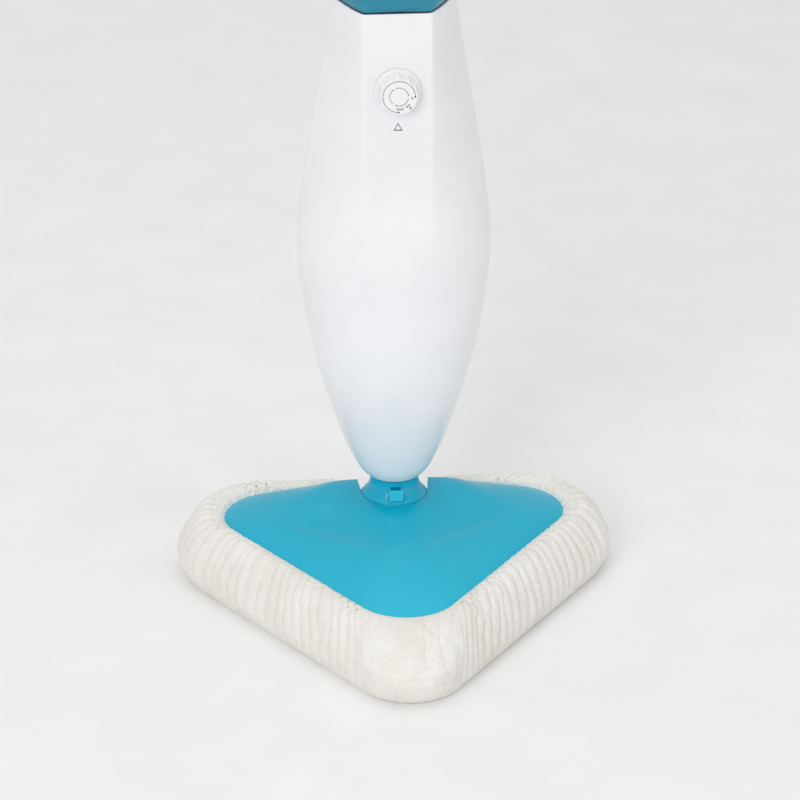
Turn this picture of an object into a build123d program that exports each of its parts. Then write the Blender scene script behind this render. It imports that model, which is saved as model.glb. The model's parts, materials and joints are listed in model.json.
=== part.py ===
from build123d import *
import math
import os

# Upright steam mop: a triangular head in a gathered cloth pad, a ball-jointed neck,
# a bulbous two-shell body that holds pump, boiler and steam valve, a lift-off water
# tank round the pole, and a loop handle.
# Millimetres. Origin on the floor under the neck axis, front towards -Y, +Z up.

# ---- Fits and walls ------------------------------------------------------------------
run_fit = 0.05          # radial clearance of a shaft that turns or slides in its bore
free_gap = 0.4          # gap between pieces that move past each other without a fit
seat_gap = 0.2          # gap between a cover and what sits inside it
shell_wall = 2.4
screw_r = 1.5
screw_head_r = 2.9
screw_head_h = 2.0

# ---- Mop head ------------------------------------------------------------------------
side_angle = math.radians(55.0)   # the long sides of the triangle, measured from X
pad_side = 134.0                  # neck axis to the pad's long side
pad_rear = 58.0                   # neck axis to the pad's rear edge
pad_nose_r = 36.0
pad_corner_r = 53.0
pad_belly_z = 16.0                # height at which the pad is widest
pad_rim_z = 46.0                  # top of the pad's elastic rim
pad_rim_inset = 23.0              # how far the rim lies inside the pad's widest outline
sole_cloth = 7.0                  # cloth under the sole plate
sole_plate = 4.0
dome_top_z = 64.5
pad_wall = 12.0                   # cloth beside the sole plate
elastic_r = 1.6

# ---- Ball joint ----------------------------------------------------------------------
pivot_z = 46.0
ball_r = 30.0
ball_wall = 3.0
deck_t = 5.0
trough_floor_z = 31.0             # floor of the slot that the neck lies back into
trough_rear_half = 31.0
ear_gap = 1.8
ear_t = 5.4
ear_r = 8.5
tilt_pin_r = 5.0
elbow_r = 6.0
elbow_bore_r = 3.0
nozzle_r = 9.0

# ---- Neck ----------------------------------------------------------------------------
spigot_r = 13.0
stem_r = 10.0
steam_bore_r = 3.5
neck_wall = 4.5                   # spigot to the outside of the neck ring
neck_lift = 0.3                   # the flare runs this far above the ball's flat top
flare_h = 12.0
ring_h = 2.9
latch_travel = 2.0
latch_rise = 5.2                  # latch plate above the foot of the flare
latch_t = 2.5
latch_bite = 0.9                  # how far the latch reaches into the spigot's groove
button_half_w = 5.4
button_h = 8.5
button_rise = 2.2
button_stand = 5.1                # button face beyond the neck ring
button_plate = 1.8
tongue_half_w = 5.0
window_half_w = 3.4

# ---- Body shells ---------------------------------------------------------------------
body_h = 370.0
facet_half = 24.0
facet_slope = 0.07                # forward lean of the flat front facet, per mm of height
facet_top_front = 36.0            # neck axis to the facet's top edge
facet_foot = 0.63                 # share of the height above which the facet is flat
facet_sag = 0.3
body_levels = 17

# ---- Steam knob ----------------------------------------------------------------------
knob_drop = 55.0                  # knob axis below the body's top edge
knob_flange_r = 16.3
knob_flange_t = 2.4
knob_foot_r = 15.0
knob_face_r = 13.5
knob_h = 13.8
knob_flutes = 12
spindle_r = 3.0

# ---- Inside the body -----------------------------------------------------------------
boiler_half_w = 30.0
boiler_y = (-26.0, 6.0)
boiler_h = 90.0
pump_x = -22.0
line_y = -8.0                     # plane of the pump, the tank outlet and the feed hose
pump_r = 13.0
pump_h = 70.0
pump_drop = 80.0                  # top of the pump below the body's top edge
feed_gap = 25.0                   # pump to boiler
hose_r = 3.5
hose_bore_r = 2.0
nipple_r = 2.6
nipple_h = 8.0
steam_line_y = -35.0              # steam hose in front of the boiler

# ---- Tank ----------------------------------------------------------------------------
tank_gap = 1.0
tank_h = 150.0
tank_wall = 2.2
tank_top_half_w = 27.0
tank_top_front = 22.5
tank_top_rear = 30.0
tank_seat_t = 8.0
tank_seat_drop = 4.0
spout_r = 6.0
spout_h = 6.4
valve_disc_r = 4.4
valve_stem_r = 1.6
cap_r = 9.4
cap_h = 12.0
filler_r = 7.5
filler_wall = 1.5
filler_y = -11.5

# ---- Pole and handle -----------------------------------------------------------------
pole_y = 14.0
pole_r = 12.5
pole_wall = 1.2
pole_depth = 50.0                 # how far the pole reaches into the body
lower_pole_length = 430.0
upper_pole_length = 246.0
pole_lap = 32.0
collar_wall = 3.2
snap_r = 3.0
handle_half_depth = 42.0
handle_half_h = 58.0
handle_bar = 16.0
handle_half_w = 13.0
handle_wall = 3.0
handle_foot = 32.0
loop_flat = 2.0                   # half the straight run across the top of the loop
grip_t = 1.6
grip_half_w = 7.5
hook_lower_drop = 70.0            # lower cord hook below the pole joint
hook_upper_drop = 68.0            # upper cord hook below the top of the pole
hook_reach = 30.0
hook_tip = 20.0
hook_w = 12.0
hook_t = 5.0

# ---- Cord inlet ----------------------------------------------------------------------
gland_drop = 120.0                # cord inlet below the body's top edge
gland_bore_r = 3.4
gland_neck_r = 6.0
gland_flange_r = 9.0
gland_len = 16.0

# ---- Places that follow from the sizes -------------------------------------------------
neck_foot_z = dome_top_z + neck_lift
flare_r = math.sqrt(ball_r**2 - (dome_top_z - pivot_z) ** 2) - 0.2
ring_r = spigot_r + neck_wall
flare_top_z = neck_foot_z + flare_h
ring_top_z = flare_top_z + ring_h
latch_z = neck_foot_z + latch_rise
button_z = (neck_foot_z + button_rise, neck_foot_z + button_rise + button_h)
button_front = ring_r + button_stand
body_bottom_z = ring_top_z + 0.3
body_top_z = body_bottom_z + body_h
knob_z = body_top_z - knob_drop
pump_y = line_y
pump_z = (body_top_z - pump_drop - pump_h, body_top_z - pump_drop)
boiler_z = (pump_z[0] - feed_gap - boiler_h, pump_z[0] - feed_gap)
tank_seat_z = (body_top_z - tank_seat_drop - tank_seat_t, body_top_z - tank_seat_drop)
tank_foot_z = body_top_z + tank_gap
gland_z = body_top_z - gland_drop
pole_foot_z = body_top_z - pole_depth
pole_joint_z = pole_foot_z + lower_pole_length
pole_top_z = pole_joint_z + upper_pole_length
snap_z = pole_joint_z - pole_lap / 2
handle_z = pole_top_z + handle_half_h + 2.0
handle_foot_z = handle_z - handle_half_h - handle_foot
hook_lower_z = pole_joint_z - hook_lower_drop
hook_upper_z = pole_top_z - hook_upper_drop


def facet_front(z):
    """How far forward the flat front facet lies at a height."""
    return facet_top_front + (body_top_z - z) * facet_slope


def body_profile():
    """Rows of height, half-width, front, rear, half-width of the front facet, and side
    bulge: 0 is a straight side, 1 an elliptical one."""
    shape = [
        (0.0, 18.8, 18.3, 18.0, 6.0, 1.0),
        (0.016, 24.2, 22.3, 21.5, 8.0, 1.0),
        (0.054, 32.0, 28.0, 26.5, 11.0, 1.0),
        (0.135, 43.1, 36.0, 34.0, 15.0, 0.95),
        (0.243, 55.0, 43.4, 41.0, 19.0, 0.85),
        (0.378, 65.0, 48.2, 46.0, 22.5, 0.7),
        (0.495, 69.1, 49.1, 48.0, facet_half, 0.6),
        (0.638, 64.3, None, 46.0, facet_half, 0.45),
        (0.811, 53.8, None, 41.0, facet_half, 0.3),
        (1.0, 42.8, None, 35.0, facet_half, 0.2),
    ]
    rows = []
    for share, half_w, front, rear, facet, bulge in shape:
        z = body_bottom_z + share * body_h
        front = facet_front(z) if share > facet_foot else front
        rows.append((z, half_w, front, rear, facet, bulge))
    return rows


body_rows = body_profile()


# ======================================================================================
# Basic shapes
# ======================================================================================
def block(x, y, z):
    """A box between two limits along each axis."""
    size = (x[1] - x[0], y[1] - y[0], z[1] - z[0])
    middle = ((x[0] + x[1]) / 2, (y[0] + y[1]) / 2, (z[0] + z[1]) / 2)
    return Pos(*middle) * Box(*size)


def post(r, z, x=0.0, y=0.0):
    """An upright cylinder between two heights."""
    return Pos(x, y, (z[0] + z[1]) / 2) * Cylinder(r, z[1] - z[0])


def rod(start, end, r):
    """A cylinder from one point to another."""
    run = Vector(*end) - Vector(*start)
    return extrude(Plane(origin=start, z_dir=run) * Circle(r), amount=run.length)


def ring(r_out, r_in, z, x=0.0, y=0.0):
    return post(r_out, z, x, y) - post(r_in, z, x, y)


def turned(*points):
    """A solid of revolution about Z through (radius, height) points."""
    rim = Polyline(*[(r, 0, z) for r, z in points], close=True)
    return revolve(Face(Wire(rim)), Axis.Z)


def o_ring(major, minor, z, x=0.0, y=0.0):
    return Pos(x, y, z) * Torus(major, minor)


def coil(radius, wire, z, turns, x=0.0, y=0.0):
    """A compression spring along Z."""
    pitch = (z[1] - z[0] - 2 * wire) / turns
    path = Helix(pitch, pitch * turns, radius)
    start = Plane(origin=path @ 0, z_dir=path % 0)
    return Pos(x, y, z[0] + wire) * sweep(start * Circle(wire), path=path)


def hose(points, bend):
    """A hollow flexible line along straight runs with rounded corners."""
    path = Polyline(*points) if len(points) == 2 else FilletPolyline(*points, radius=bend)
    start = Plane(origin=path @ 0, z_dir=path % 0)
    return sweep(start * Circle(hose_r), path=path) - sweep(start * Circle(hose_bore_r), path=path)


def only(shape, x=(-500, 500), y=(-500, 500), z=(-500, 1500)):
    return shape & block(x, y, z)


# ======================================================================================
# Shared outlines
# ======================================================================================
def triangle(z, inset=0.0, rear_inset=None, nose_r=None, corner_r=None):
    """The head's rounded triangle at a height, drawn inwards from the pad's outline."""
    side = pad_side - inset
    rear = pad_rear - (inset if rear_inset is None else rear_inset)
    nose = pad_nose_r if nose_r is None else nose_r
    corner = pad_corner_r - inset if corner_r is None else corner_r
    nx, ny = math.sin(side_angle), -math.cos(side_angle)
    nose_y = (side - nose) / ny
    corner_y = rear - corner
    corner_x = (side - corner - ny * corner_y) / nx
    lean = math.radians(45) - side_angle / 2
    nose_side = (nose * nx, nose_y + nose * ny)
    corner_side = (corner_x + corner * nx, corner_y + corner * ny)
    bulge = (corner_x + corner * math.cos(lean), corner_y + corner * math.sin(lean))
    corner_rear = (corner_x, rear)

    def right(point):
        return (point[0], point[1], z)

    def left(point):
        return (-point[0], point[1], z)

    edges = [
        ThreePointArc(left(nose_side), (0, nose_y - nose, z), right(nose_side)),
        Line(right(nose_side), right(corner_side)),
        ThreePointArc(right(corner_side), right(bulge), right(corner_rear)),
        Line(right(corner_rear), left(corner_rear)),
        ThreePointArc(left(corner_rear), left(bulge), left(corner_side)),
        Line(left(corner_side), left(nose_side)),
    ]
    return Face(Wire([edge.edge() for edge in edges]))


def head_solid(shrink=0.0, floor_z=sole_cloth):
    """Everything inside the pad and the dome, drawn in by a wall thickness."""
    rim = pad_rim_inset
    rise = dome_top_z - pad_rim_z
    nose = pad_nose_r
    steps = [
        (floor_z, pad_wall + 2, pad_wall + 2, nose),
        (pad_belly_z, pad_wall, pad_wall, nose),
        (28.0, pad_wall + 1, pad_wall + 1, nose),
        (38.0, pad_wall + 5, pad_wall + 1.5, nose + 2),
        (pad_rim_z - 1.0, rim + 1, pad_wall + 3, nose + 4),
        (pad_rim_z + 0.16 * rise, rim + 11, pad_wall + 5, nose + 4),
        (pad_rim_z + 0.36 * rise, rim + 25, pad_wall + 8, nose + 2),
        (pad_rim_z + 0.57 * rise, rim + 42, pad_wall + 12, nose - 4),
        (pad_rim_z + 0.77 * rise, rim + 60, pad_wall + 16, nose - 12),
        (pad_rim_z + 0.91 * rise, rim + 74, pad_wall + 20, nose - 20),
        (dome_top_z, rim + 84, pad_wall + 23, nose - 27),
    ]
    faces = []
    for z, inset, rear_inset, nose_r in steps:
        corner = max(pad_corner_r - inset, 9.0)
        level = z - shrink if z > pad_rim_z else z
        radii = (max(nose_r - shrink, 3.0), max(corner - shrink, 3.0))
        faces.append(triangle(level, inset + shrink, rear_inset + shrink, *radii))
    return loft(faces, ruled=True)


def trough(wall=0.0, floor_z=trough_floor_z):
    """The slot behind the neck, which the neck lies back into."""
    front_half = math.sqrt((ball_r + free_gap) ** 2 - (dome_top_z - pivot_z) ** 2) + wall
    rear_half = trough_rear_half + wall
    outline = Polyline(
        (-front_half, 0), (front_half, 0), (rear_half, pad_rear + 10), (-rear_half, pad_rear + 10), close=True
    )
    return Pos(0, 0, floor_z - wall) * extrude(Face(Wire(outline)), amount=80.0)


def section_values(z):
    """The body's half-width, front, rear, facet half-width and bulge at any height, on a
    smooth curve through the profile's rows."""
    rows = body_rows
    last = len(rows) - 1
    here = max(i for i in range(last) if z >= rows[i][0] or i == 0)

    def slope(row, column):
        before, after = rows[max(row - 1, 0)], rows[min(row + 1, last)]
        return (after[column] - before[column]) / (after[0] - before[0])

    run = rows[here + 1][0] - rows[here][0]
    t = (z - rows[here][0]) / run
    values = []
    for column in range(1, 6):
        start, end = rows[here][column], rows[here + 1][column]
        value = start * (2 * t**3 - 3 * t**2 + 1) + end * (3 * t**2 - 2 * t**3)
        value += slope(here, column) * run * (t**3 - 2 * t**2 + t)
        values.append(value + slope(here + 1, column) * run * (t**3 - t**2))
    return values


def body_face(z, half_w, front, rear, facet, bulge, inset=0.0):
    """One level cut of the body: flat front facet, two bowed sides and a round back."""
    half_w, front, rear, facet = half_w - inset, front - inset, rear - inset, facet - inset / 2
    shoulder = front - facet_sag - (1 - math.sqrt(1 - (facet / half_w) ** 2)) * front * (bulge - 0.2)
    span = half_w - facet
    bow = bulge * (math.sqrt(0.5) - 0.5)
    side = (facet + span * (0.5 + bow), -shoulder * (0.5 + bow))
    points = {
        "left": (-facet, -shoulder, z),
        "nose": (0, -front, z),
        "right": (facet, -shoulder, z),
        "side": (side[0], side[1], z),
        "east": (half_w, 0, z),
        "back": (0, rear, z),
        "west": (-half_w, 0, z),
        "other": (-side[0], side[1], z),
    }
    edges = [
        ThreePointArc(points["left"], points["nose"], points["right"]),
        ThreePointArc(points["right"], points["side"], points["east"]),
        ThreePointArc(points["east"], points["back"], points["west"]),
        ThreePointArc(points["west"], points["other"], points["left"]),
    ]
    return Face(Wire([edge.edge() for edge in edges]))


def body_solid(inset=0.0):
    """Straight bands through level cuts, closer together towards the narrow foot."""
    faces = []
    for level in range(body_levels):
        z = body_bottom_z + body_h * (level / (body_levels - 1)) ** 1.3
        faces.append(body_face(z, *section_values(z), inset=inset))
    return loft(faces, ruled=True)


def body_slab(z, inset):
    """A level slice of the inside of the body, following its taper."""
    return loft([body_face(level, *section_values(level), inset=inset) for level in z], ruled=True)


def facet_plane(depth=0.0):
    """On the front facet at the knob, looking out, sunk by a depth."""
    lean = math.atan(facet_slope)
    front = facet_front(knob_z)
    out = Vector(0, -math.cos(lean), math.sin(lean))
    return Plane(origin=Vector(0, -front, knob_z) - out * depth, x_dir=(1, 0, 0), z_dir=out)


# ======================================================================================
# Mop head
# ======================================================================================
nose_y = -(pad_side - pad_nose_r) / math.cos(side_angle)


def beside_long_side(inset, y):
    """The X of a place that lies a distance inside the pad's long side."""
    return (pad_side - inset + math.cos(side_angle) * y) / math.sin(side_angle)


head_screw_places = [(0, nose_y + 21)]
for screw_y, screw_inset in ((-78, 42), (4, 54)):
    screw_x = beside_long_side(screw_inset, screw_y)
    head_screw_places += [(-screw_x, screw_y), (screw_x, screw_y)]
nozzle_x = ball_r + ear_gap + ear_t + elbow_r + 4.0


def head_cover():
    cover = head_solid() - trough()
    hollow = head_solid(shrink=shell_wall, floor_z=sole_cloth - 1) - trough(wall=shell_wall)
    reach = (sole_cloth + sole_plate, 2 * dome_top_z)
    posts = Compound([post(4.5, reach, x, y) for x, y in head_screw_places])
    hollow = hollow - posts
    cover = cover - hollow
    cover = cover - Pos(0, 0, pivot_z) * Sphere(ball_r + free_gap)
    for x, y in head_screw_places:
        cover = cover - post(screw_r, (0, sole_cloth + 16), x, y)
    return cover


def head_base():
    inset = pad_wall + 2
    skin = shell_wall + seat_gap
    outline = triangle(sole_cloth, inset + skin, None, pad_nose_r - skin, pad_corner_r - inset - skin)
    plate = extrude(outline, amount=sole_plate)
    for x, y in head_screw_places:
        plate = plate - post(screw_r + seat_gap, (0, 30), x, y)
        plate = plate - post(screw_head_r + seat_gap, (0, sole_cloth + screw_head_h), x, y)
    for x, y in bracket_screw_places():
        plate = plate - post(screw_r + seat_gap, (0, 30), x, y)
        plate = plate - post(screw_head_r + seat_gap, (0, sole_cloth + screw_head_h), x, y)
    for row in range(5):
        for side in (-1, 1):
            plate = plate - post(2.0, (0, 30), side * (12 + 14 * row), -118 + 22 * row)
    return plate - post(elbow_bore_r, (0, 30), nozzle_x, 0)


def screw(x, y, length=14.0):
    """A pan-head screw driven upwards into the head from below."""
    z = sole_cloth
    drive = post(1.0, (z, z + 1.0), x, y)
    head = post(screw_head_r, (z, z + screw_head_h), x, y)
    return head + post(screw_r, (z + screw_head_h, z + length), x, y) - drive


def head_screws():
    return Compound([screw(x, y) for x, y in head_screw_places])


def bracket_screw_places():
    x = ball_r + ear_gap + ear_t / 2
    return [(side * x, y) for side in (-1, 1) for y in (-16, 16)]


def bracket_screws():
    return Compound([screw(x, y, length=9.0) for x, y in bracket_screw_places()])


def hinge_bracket():
    """A cradle with an ear each side of the ball, which carries the tilt axis."""
    ear_x = ball_r + ear_gap
    floor_z = sole_cloth + sole_plate
    body = block((-ear_x - ear_t, ear_x + ear_t), (-22, 22), (floor_z, floor_z + 3))
    for side in (-1, 1):
        near, far = sorted((side * ear_x, side * (ear_x + ear_t)))
        body += block((near, far), (-22, 22), (floor_z, floor_z + 6))
        body += block((near, far), (-ear_r, ear_r), (floor_z, pivot_z))
        body += rod((near, 0, pivot_z), (far, 0, pivot_z), ear_r)
    body -= rod((-60, 0, pivot_z), (0, 0, pivot_z), tilt_pin_r)
    body -= rod((0, 0, pivot_z), (60, 0, pivot_z), elbow_r)
    body -= block((-20, 20), (-14, 14), (0, floor_z + 4))
    for x, y in bracket_screw_places():
        body -= post(screw_r, (0, sole_cloth + 9.0), x, y)
    return body


def tilt_pin():
    ear_x = ball_r + ear_gap
    pin = rod((-ear_x - ear_t, 0, pivot_z), (-ball_r + 8, 0, pivot_z), tilt_pin_r)
    return pin + rod((-ear_x - ear_t - 2, 0, pivot_z), (-ear_x - ear_t, 0, pivot_z), tilt_pin_r + 2)


def steam_elbow():
    """The other pivot: a hollow pin that brings the steam down to the sole."""
    drop = sole_cloth + sole_plate + 9.0
    inner = (ball_r - 8, 0, pivot_z)
    corner = (nozzle_x, 0, pivot_z)
    foot = (nozzle_x, 0, drop)
    shape = rod(inner, corner, elbow_r) + Pos(*corner) * Sphere(elbow_r)
    shape += rod(corner, foot, elbow_r)
    bore = rod(inner, corner, elbow_bore_r) + Pos(*corner) * Sphere(elbow_bore_r)
    return shape - bore - rod(corner, foot, elbow_bore_r)


def steam_nozzle():
    """The cup on the sole plate that takes the elbow's foot."""
    floor_z = sole_cloth + sole_plate
    cup = post(nozzle_r, (floor_z, floor_z + 14), nozzle_x, 0)
    cup -= post(elbow_r + seat_gap, (floor_z + 7, floor_z + 20), nozzle_x, 0)
    return cup - post(elbow_bore_r, (floor_z - 1, floor_z + 8), nozzle_x, 0)


def nozzle_seal():
    floor_z = sole_cloth + sole_plate
    return ring(elbow_r - 0.2, elbow_bore_r + 0.4, (floor_z + 7, floor_z + 8.8), nozzle_x, 0)


def pad_outer():
    rim = pad_rim_inset
    steps = [(0.0, 8.0), (3.0, 4.6), (8.0, 1.6), (pad_belly_z, 0.0), (27.0, 2.5), (37.0, 9.0)]
    steps.append((pad_rim_z, rim - 6))
    faces = []
    for z, inset in steps:
        rear_inset = min(inset, 9.0) if z > pad_belly_z else inset
        faces.append(triangle(z, inset, rear_inset, pad_nose_r + 0.17 * inset))
    return loft(faces, ruled=True)


def mop_pad():
    pad = pad_outer() - head_solid(shrink=-seat_gap, floor_z=sole_cloth)
    return pad - trough(wall=1.0, floor_z=trough_floor_z + 4.0)


def pad_elastic():
    """The elastic cord in the hem, all the way round the rim's front and sides."""
    z = pad_rim_z - 5.0
    inset = pad_rim_inset - 6.5
    outline = triangle(z, inset, 9.5, pad_nose_r + 3).outer_wire()
    start = Plane(origin=outline @ 0, z_dir=outline % 0)
    loop = sweep(start * Circle(elastic_r), path=outline, transition=Transition.ROUND)
    return loop - trough(wall=2.0, floor_z=trough_floor_z)


# ======================================================================================
# Ball joint and neck
# ======================================================================================
def sphere_radius(r, z):
    """Radius of the level circle that a sphere round the pivot has at a height."""
    return math.sqrt(r**2 - (z - pivot_z) ** 2)


def tilt_ball():
    inner_r = ball_r - ball_wall
    foot_z = pivot_z - ball_r * 0.53
    deck_z = dome_top_z - deck_t
    bore = stem_r + run_fit
    rim = [
        ThreePointArc(
            (sphere_radius(ball_r, foot_z), 0, foot_z),
            (ball_r, 0, pivot_z),
            (sphere_radius(ball_r, dome_top_z), 0, dome_top_z),
        ),
        Line((sphere_radius(ball_r, dome_top_z), 0, dome_top_z), (bore, 0, dome_top_z)),
        Line((bore, 0, dome_top_z), (bore, 0, deck_z)),
        Line((bore, 0, deck_z), (sphere_radius(inner_r, deck_z), 0, deck_z)),
        ThreePointArc(
            (sphere_radius(inner_r, deck_z), 0, deck_z),
            (inner_r, 0, pivot_z),
            (sphere_radius(inner_r, foot_z), 0, foot_z),
        ),
        Line((sphere_radius(inner_r, foot_z), 0, foot_z), (sphere_radius(ball_r, foot_z), 0, foot_z)),
    ]
    shell = revolve(Face(Wire([edge.edge() for edge in rim])), Axis.Z)
    for side in (-1, 1):
        shell += rod((side * (ball_r - 10), 0, pivot_z), (side * (inner_r + 0.5), 0, pivot_z), ear_r)
    shell -= rod((-ball_r - 1, 0, pivot_z), (0, 0, pivot_z), tilt_pin_r + run_fit)
    return shell - rod((0, 0, pivot_z), (ball_r + 1, 0, pivot_z), elbow_r + run_fit)


stem_foot_z = dome_top_z - deck_t - 5.5
swivel_seal_z = dome_top_z - deck_t / 2
clip_z = (dome_top_z - deck_t - 2.0, dome_top_z - deck_t - 0.4)
well_r = spigot_r + 3.1
socket_floor_z = latch_z - 1.6
latch_cavity = (latch_z - 0.3, latch_z + latch_t + 0.3)


def swivel_hose():
    """The short line inside the ball, from the swivel stem to the hollow pivot."""
    bend = 5.0
    start_z = stem_foot_z - 0.3
    return hose([(0, 0, start_z), (0, 0, pivot_z), (ball_r - 8.3, 0, pivot_z)], bend)


def neck_socket():
    """The flared foot of the neck, whose hollow stem turns in the ball's deck."""
    flare_waist = (ring_r + 0.32 * (flare_r - ring_r), 0, neck_foot_z + 0.42 * flare_h)
    rim = [
        Line((steam_bore_r, 0, stem_foot_z), (stem_r, 0, stem_foot_z)),
        Line((stem_r, 0, stem_foot_z), (stem_r, 0, neck_foot_z)),
        Line((stem_r, 0, neck_foot_z), (flare_r, 0, neck_foot_z)),
        ThreePointArc((flare_r, 0, neck_foot_z), flare_waist, (ring_r, 0, flare_top_z)),
        Line((ring_r, 0, flare_top_z), (well_r, 0, flare_top_z)),
        Line((well_r, 0, flare_top_z), (well_r, 0, latch_cavity[0])),
        Line((well_r, 0, latch_cavity[0]), (spigot_r + run_fit, 0, latch_cavity[0])),
        Line((spigot_r + run_fit, 0, latch_cavity[0]), (spigot_r + run_fit, 0, socket_floor_z)),
        Line((spigot_r + run_fit, 0, socket_floor_z), (steam_bore_r, 0, socket_floor_z)),
        Line((steam_bore_r, 0, socket_floor_z), (steam_bore_r, 0, stem_foot_z)),
    ]
    socket = revolve(Face(Wire([edge.edge() for edge in rim])), Axis.Z)
    socket -= ring(stem_r + 1, stem_r - 1.1, (clip_z[0] - 0.1, clip_z[1] + 0.1))
    socket -= ring(stem_r + 1, stem_r - 1.5, (swivel_seal_z - 0.8, swivel_seal_z + 0.8))
    recess_y = button_front - button_plate - latch_travel - 0.2
    half = button_half_w + free_gap
    low, high = button_z
    socket -= block((-half, half), (-40, -recess_y), (low - free_gap, high + free_gap))
    half = tongue_half_w + free_gap
    socket -= block((-half, half), (-40, -spigot_r), latch_cavity)
    half = window_half_w
    socket -= block((-half, half), (-40, -well_r + 1), (latch_cavity[1], flare_top_z - 0.5))
    half = 2.0
    return socket - block((-half, half), (spigot_r, well_r + 2.0), latch_cavity)


def neck_ring():
    """The collar that closes the neck and guides the spigot."""
    collar = turned(
        (spigot_r + run_fit, latch_cavity[1]),
        (well_r - 0.1, latch_cavity[1]),
        (well_r - 0.1, flare_top_z),
        (ring_r, flare_top_z),
        (ring_r, ring_top_z),
        (spigot_r + run_fit, ring_top_z),
    )
    half = window_half_w
    return collar - block((-half, half), (-40, -well_r + 1.4), (latch_cavity[1] - 1, flare_top_z - 0.5))


def release_button():
    """A push plate on a ring latch: its rear edge sits in the spigot's groove."""
    z = (latch_z, latch_z + latch_t)
    rear_edge = spigot_r - latch_bite
    hole_r = (rear_edge + spigot_r + latch_travel + 0.2) / 2
    plate = post(well_r - 0.5, z) & post(well_r - 0.2, z, 0, -latch_travel)
    plate += block((-tongue_half_w, tongue_half_w), (-button_front + 0.5, -10), z)
    plate -= post(hole_r, (z[0] - 1, z[1] + 1), 0, rear_edge - hole_r)
    face = block(
        (-button_half_w, button_half_w), (-button_front, -button_front + button_plate), button_z
    )
    return plate + fillet(face.edges().group_by(Axis.Y)[0], 0.5)


def latch_spring():
    half = 1.2
    start = well_r - latch_travel + 0.1
    bow = Polyline((-half, start), (half, start), (half, well_r + 1.8), (-half, well_r + 1.8), close=True)
    strip = extrude(Face(Wire(bow)), amount=latch_t)
    window = block((-half + 0.5, half - 0.5), (start + 0.5, well_r + 1.3), (-1, latch_t + 1))
    return Pos(0, 0, latch_z) * (strip - window)


def swivel_clip():
    return ring(stem_r + 3, stem_r - 1.1, clip_z) - block((-5, 5), (5, 20), (0, 100))


def swivel_seal():
    return o_ring(stem_r - 0.75, 0.7, swivel_seal_z)


seal_z = flare_top_z - 0.8


def body_spigot():
    """The body's foot: a hollow plug with a latch groove and a flange in the shells."""
    groove = spigot_r - 1.7
    plug = turned(
        (steam_bore_r, socket_floor_z + 0.3),
        (spigot_r - 1.0, socket_floor_z + 0.3),
        (spigot_r, socket_floor_z + 1.0),
        (groove, latch_z - 0.1),
        (groove, latch_z + latch_t + 0.2),
        (spigot_r, latch_z + latch_t + 0.2),
        (spigot_r, seal_z - 0.8),
        (spigot_r - 1.1, seal_z - 0.8),
        (spigot_r - 1.1, seal_z + 0.8),
        (spigot_r, seal_z + 0.8),
        (spigot_r, body_bottom_z + 0.3),
        (15.4, body_bottom_z + 0.3),
        (15.4, body_bottom_z + 3.3),
        (nipple_r + 3, body_bottom_z + 5.0),
        (nipple_r + 0.8, body_bottom_z + 7.0),
        (nipple_r + 0.8, body_bottom_z + 14.0),
        (steam_bore_r - 1.0, body_bottom_z + 14.0),
        (steam_bore_r - 1.0, body_bottom_z),
        (steam_bore_r, body_bottom_z),
    )
    return plug


def spigot_seal():
    return o_ring(spigot_r - 0.55, 0.5, seal_z)


# ======================================================================================
# Body shells
# ======================================================================================
boss_z = (body_bottom_z + 48, boiler_z[0] + 61, body_top_z - 42)
shell_screw_places = [(side * x, z) for x, z in zip((24, 50, 37), boss_z) for side in (-1, 1)]


def shells():
    """Both halves of the body, split on the plane of its greatest width."""
    outer = body_solid()
    inner = body_solid(inset=shell_wall)
    posts = Compound([rod((x, -60, z), (x, 60, z), 4.5) for x, z in shell_screw_places])
    whole = outer - inner + (posts & outer)
    front = only(whole, y=(-100, 0))
    rear = only(whole, y=(0, 100))
    for x, z in shell_screw_places:
        front -= rod((x, -10, z), (x, 1, z), screw_r)
        rear -= rod((x, -1, z), (x, 60, z), screw_r + seat_gap)
        rear -= rod((x, 6, z), (x, 60, z), screw_head_r + seat_gap)
    hub = facet_plane()
    front -= extrude(hub * Circle(spindle_r + 2.4), amount=12, both=True)
    y = section_values(gland_z)[2]
    rear -= rod((0, y - 20, gland_z), (0, y + 20, gland_z), gland_neck_r + seat_gap)
    return front, rear


def shell_screws():
    parts = []
    for x, z in shell_screw_places:
        head = rod((x, 6, z), (x, 6 + screw_head_h, z), screw_head_r)
        drive = rod((x, 7, z), (x, 9, z), 1.0)
        parts.append(head + rod((x, -8, z), (x, 6, z), screw_r) - drive)
    return Compound(parts)


def cord_gland():
    y = section_values(gland_z)[2]
    outside = rod((0, y + 1.2, gland_z), (0, y + 4.2, gland_z), gland_flange_r)
    neck = rod((0, y - gland_len + 4, gland_z), (0, y + 6.0, gland_z), gland_neck_r)
    inside = rod((0, y - gland_len + 4, gland_z), (0, y - gland_len + 8, gland_z), gland_flange_r)
    return outside + neck + inside - rod((0, 0, gland_z), (0, y + 20, gland_z), gland_bore_r)


def tank_seat():
    """The deck in the body's mouth that the tank stands on."""
    deck = body_slab(tank_seat_z, shell_wall + seat_gap)
    deck -= post(pole_r + collar_wall, (0, 600), 0, pole_y)
    deck -= post(spout_r + free_gap, (tank_seat_z[1] - 5.0, 600), pump_x, pump_y)
    deck += post(hose_bore_r, (tank_seat_z[0] - nipple_h, tank_seat_z[0]), pump_x, pump_y)
    return deck - post(hose_bore_r - 0.6, (0, 600), pump_x, pump_y)


def inlet_seal():
    z = tank_seat_z[1] - 5.0
    return ring(spout_r - 0.2, spout_r - 2.2, (z, z + 1.2), pump_x, pump_y)


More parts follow.
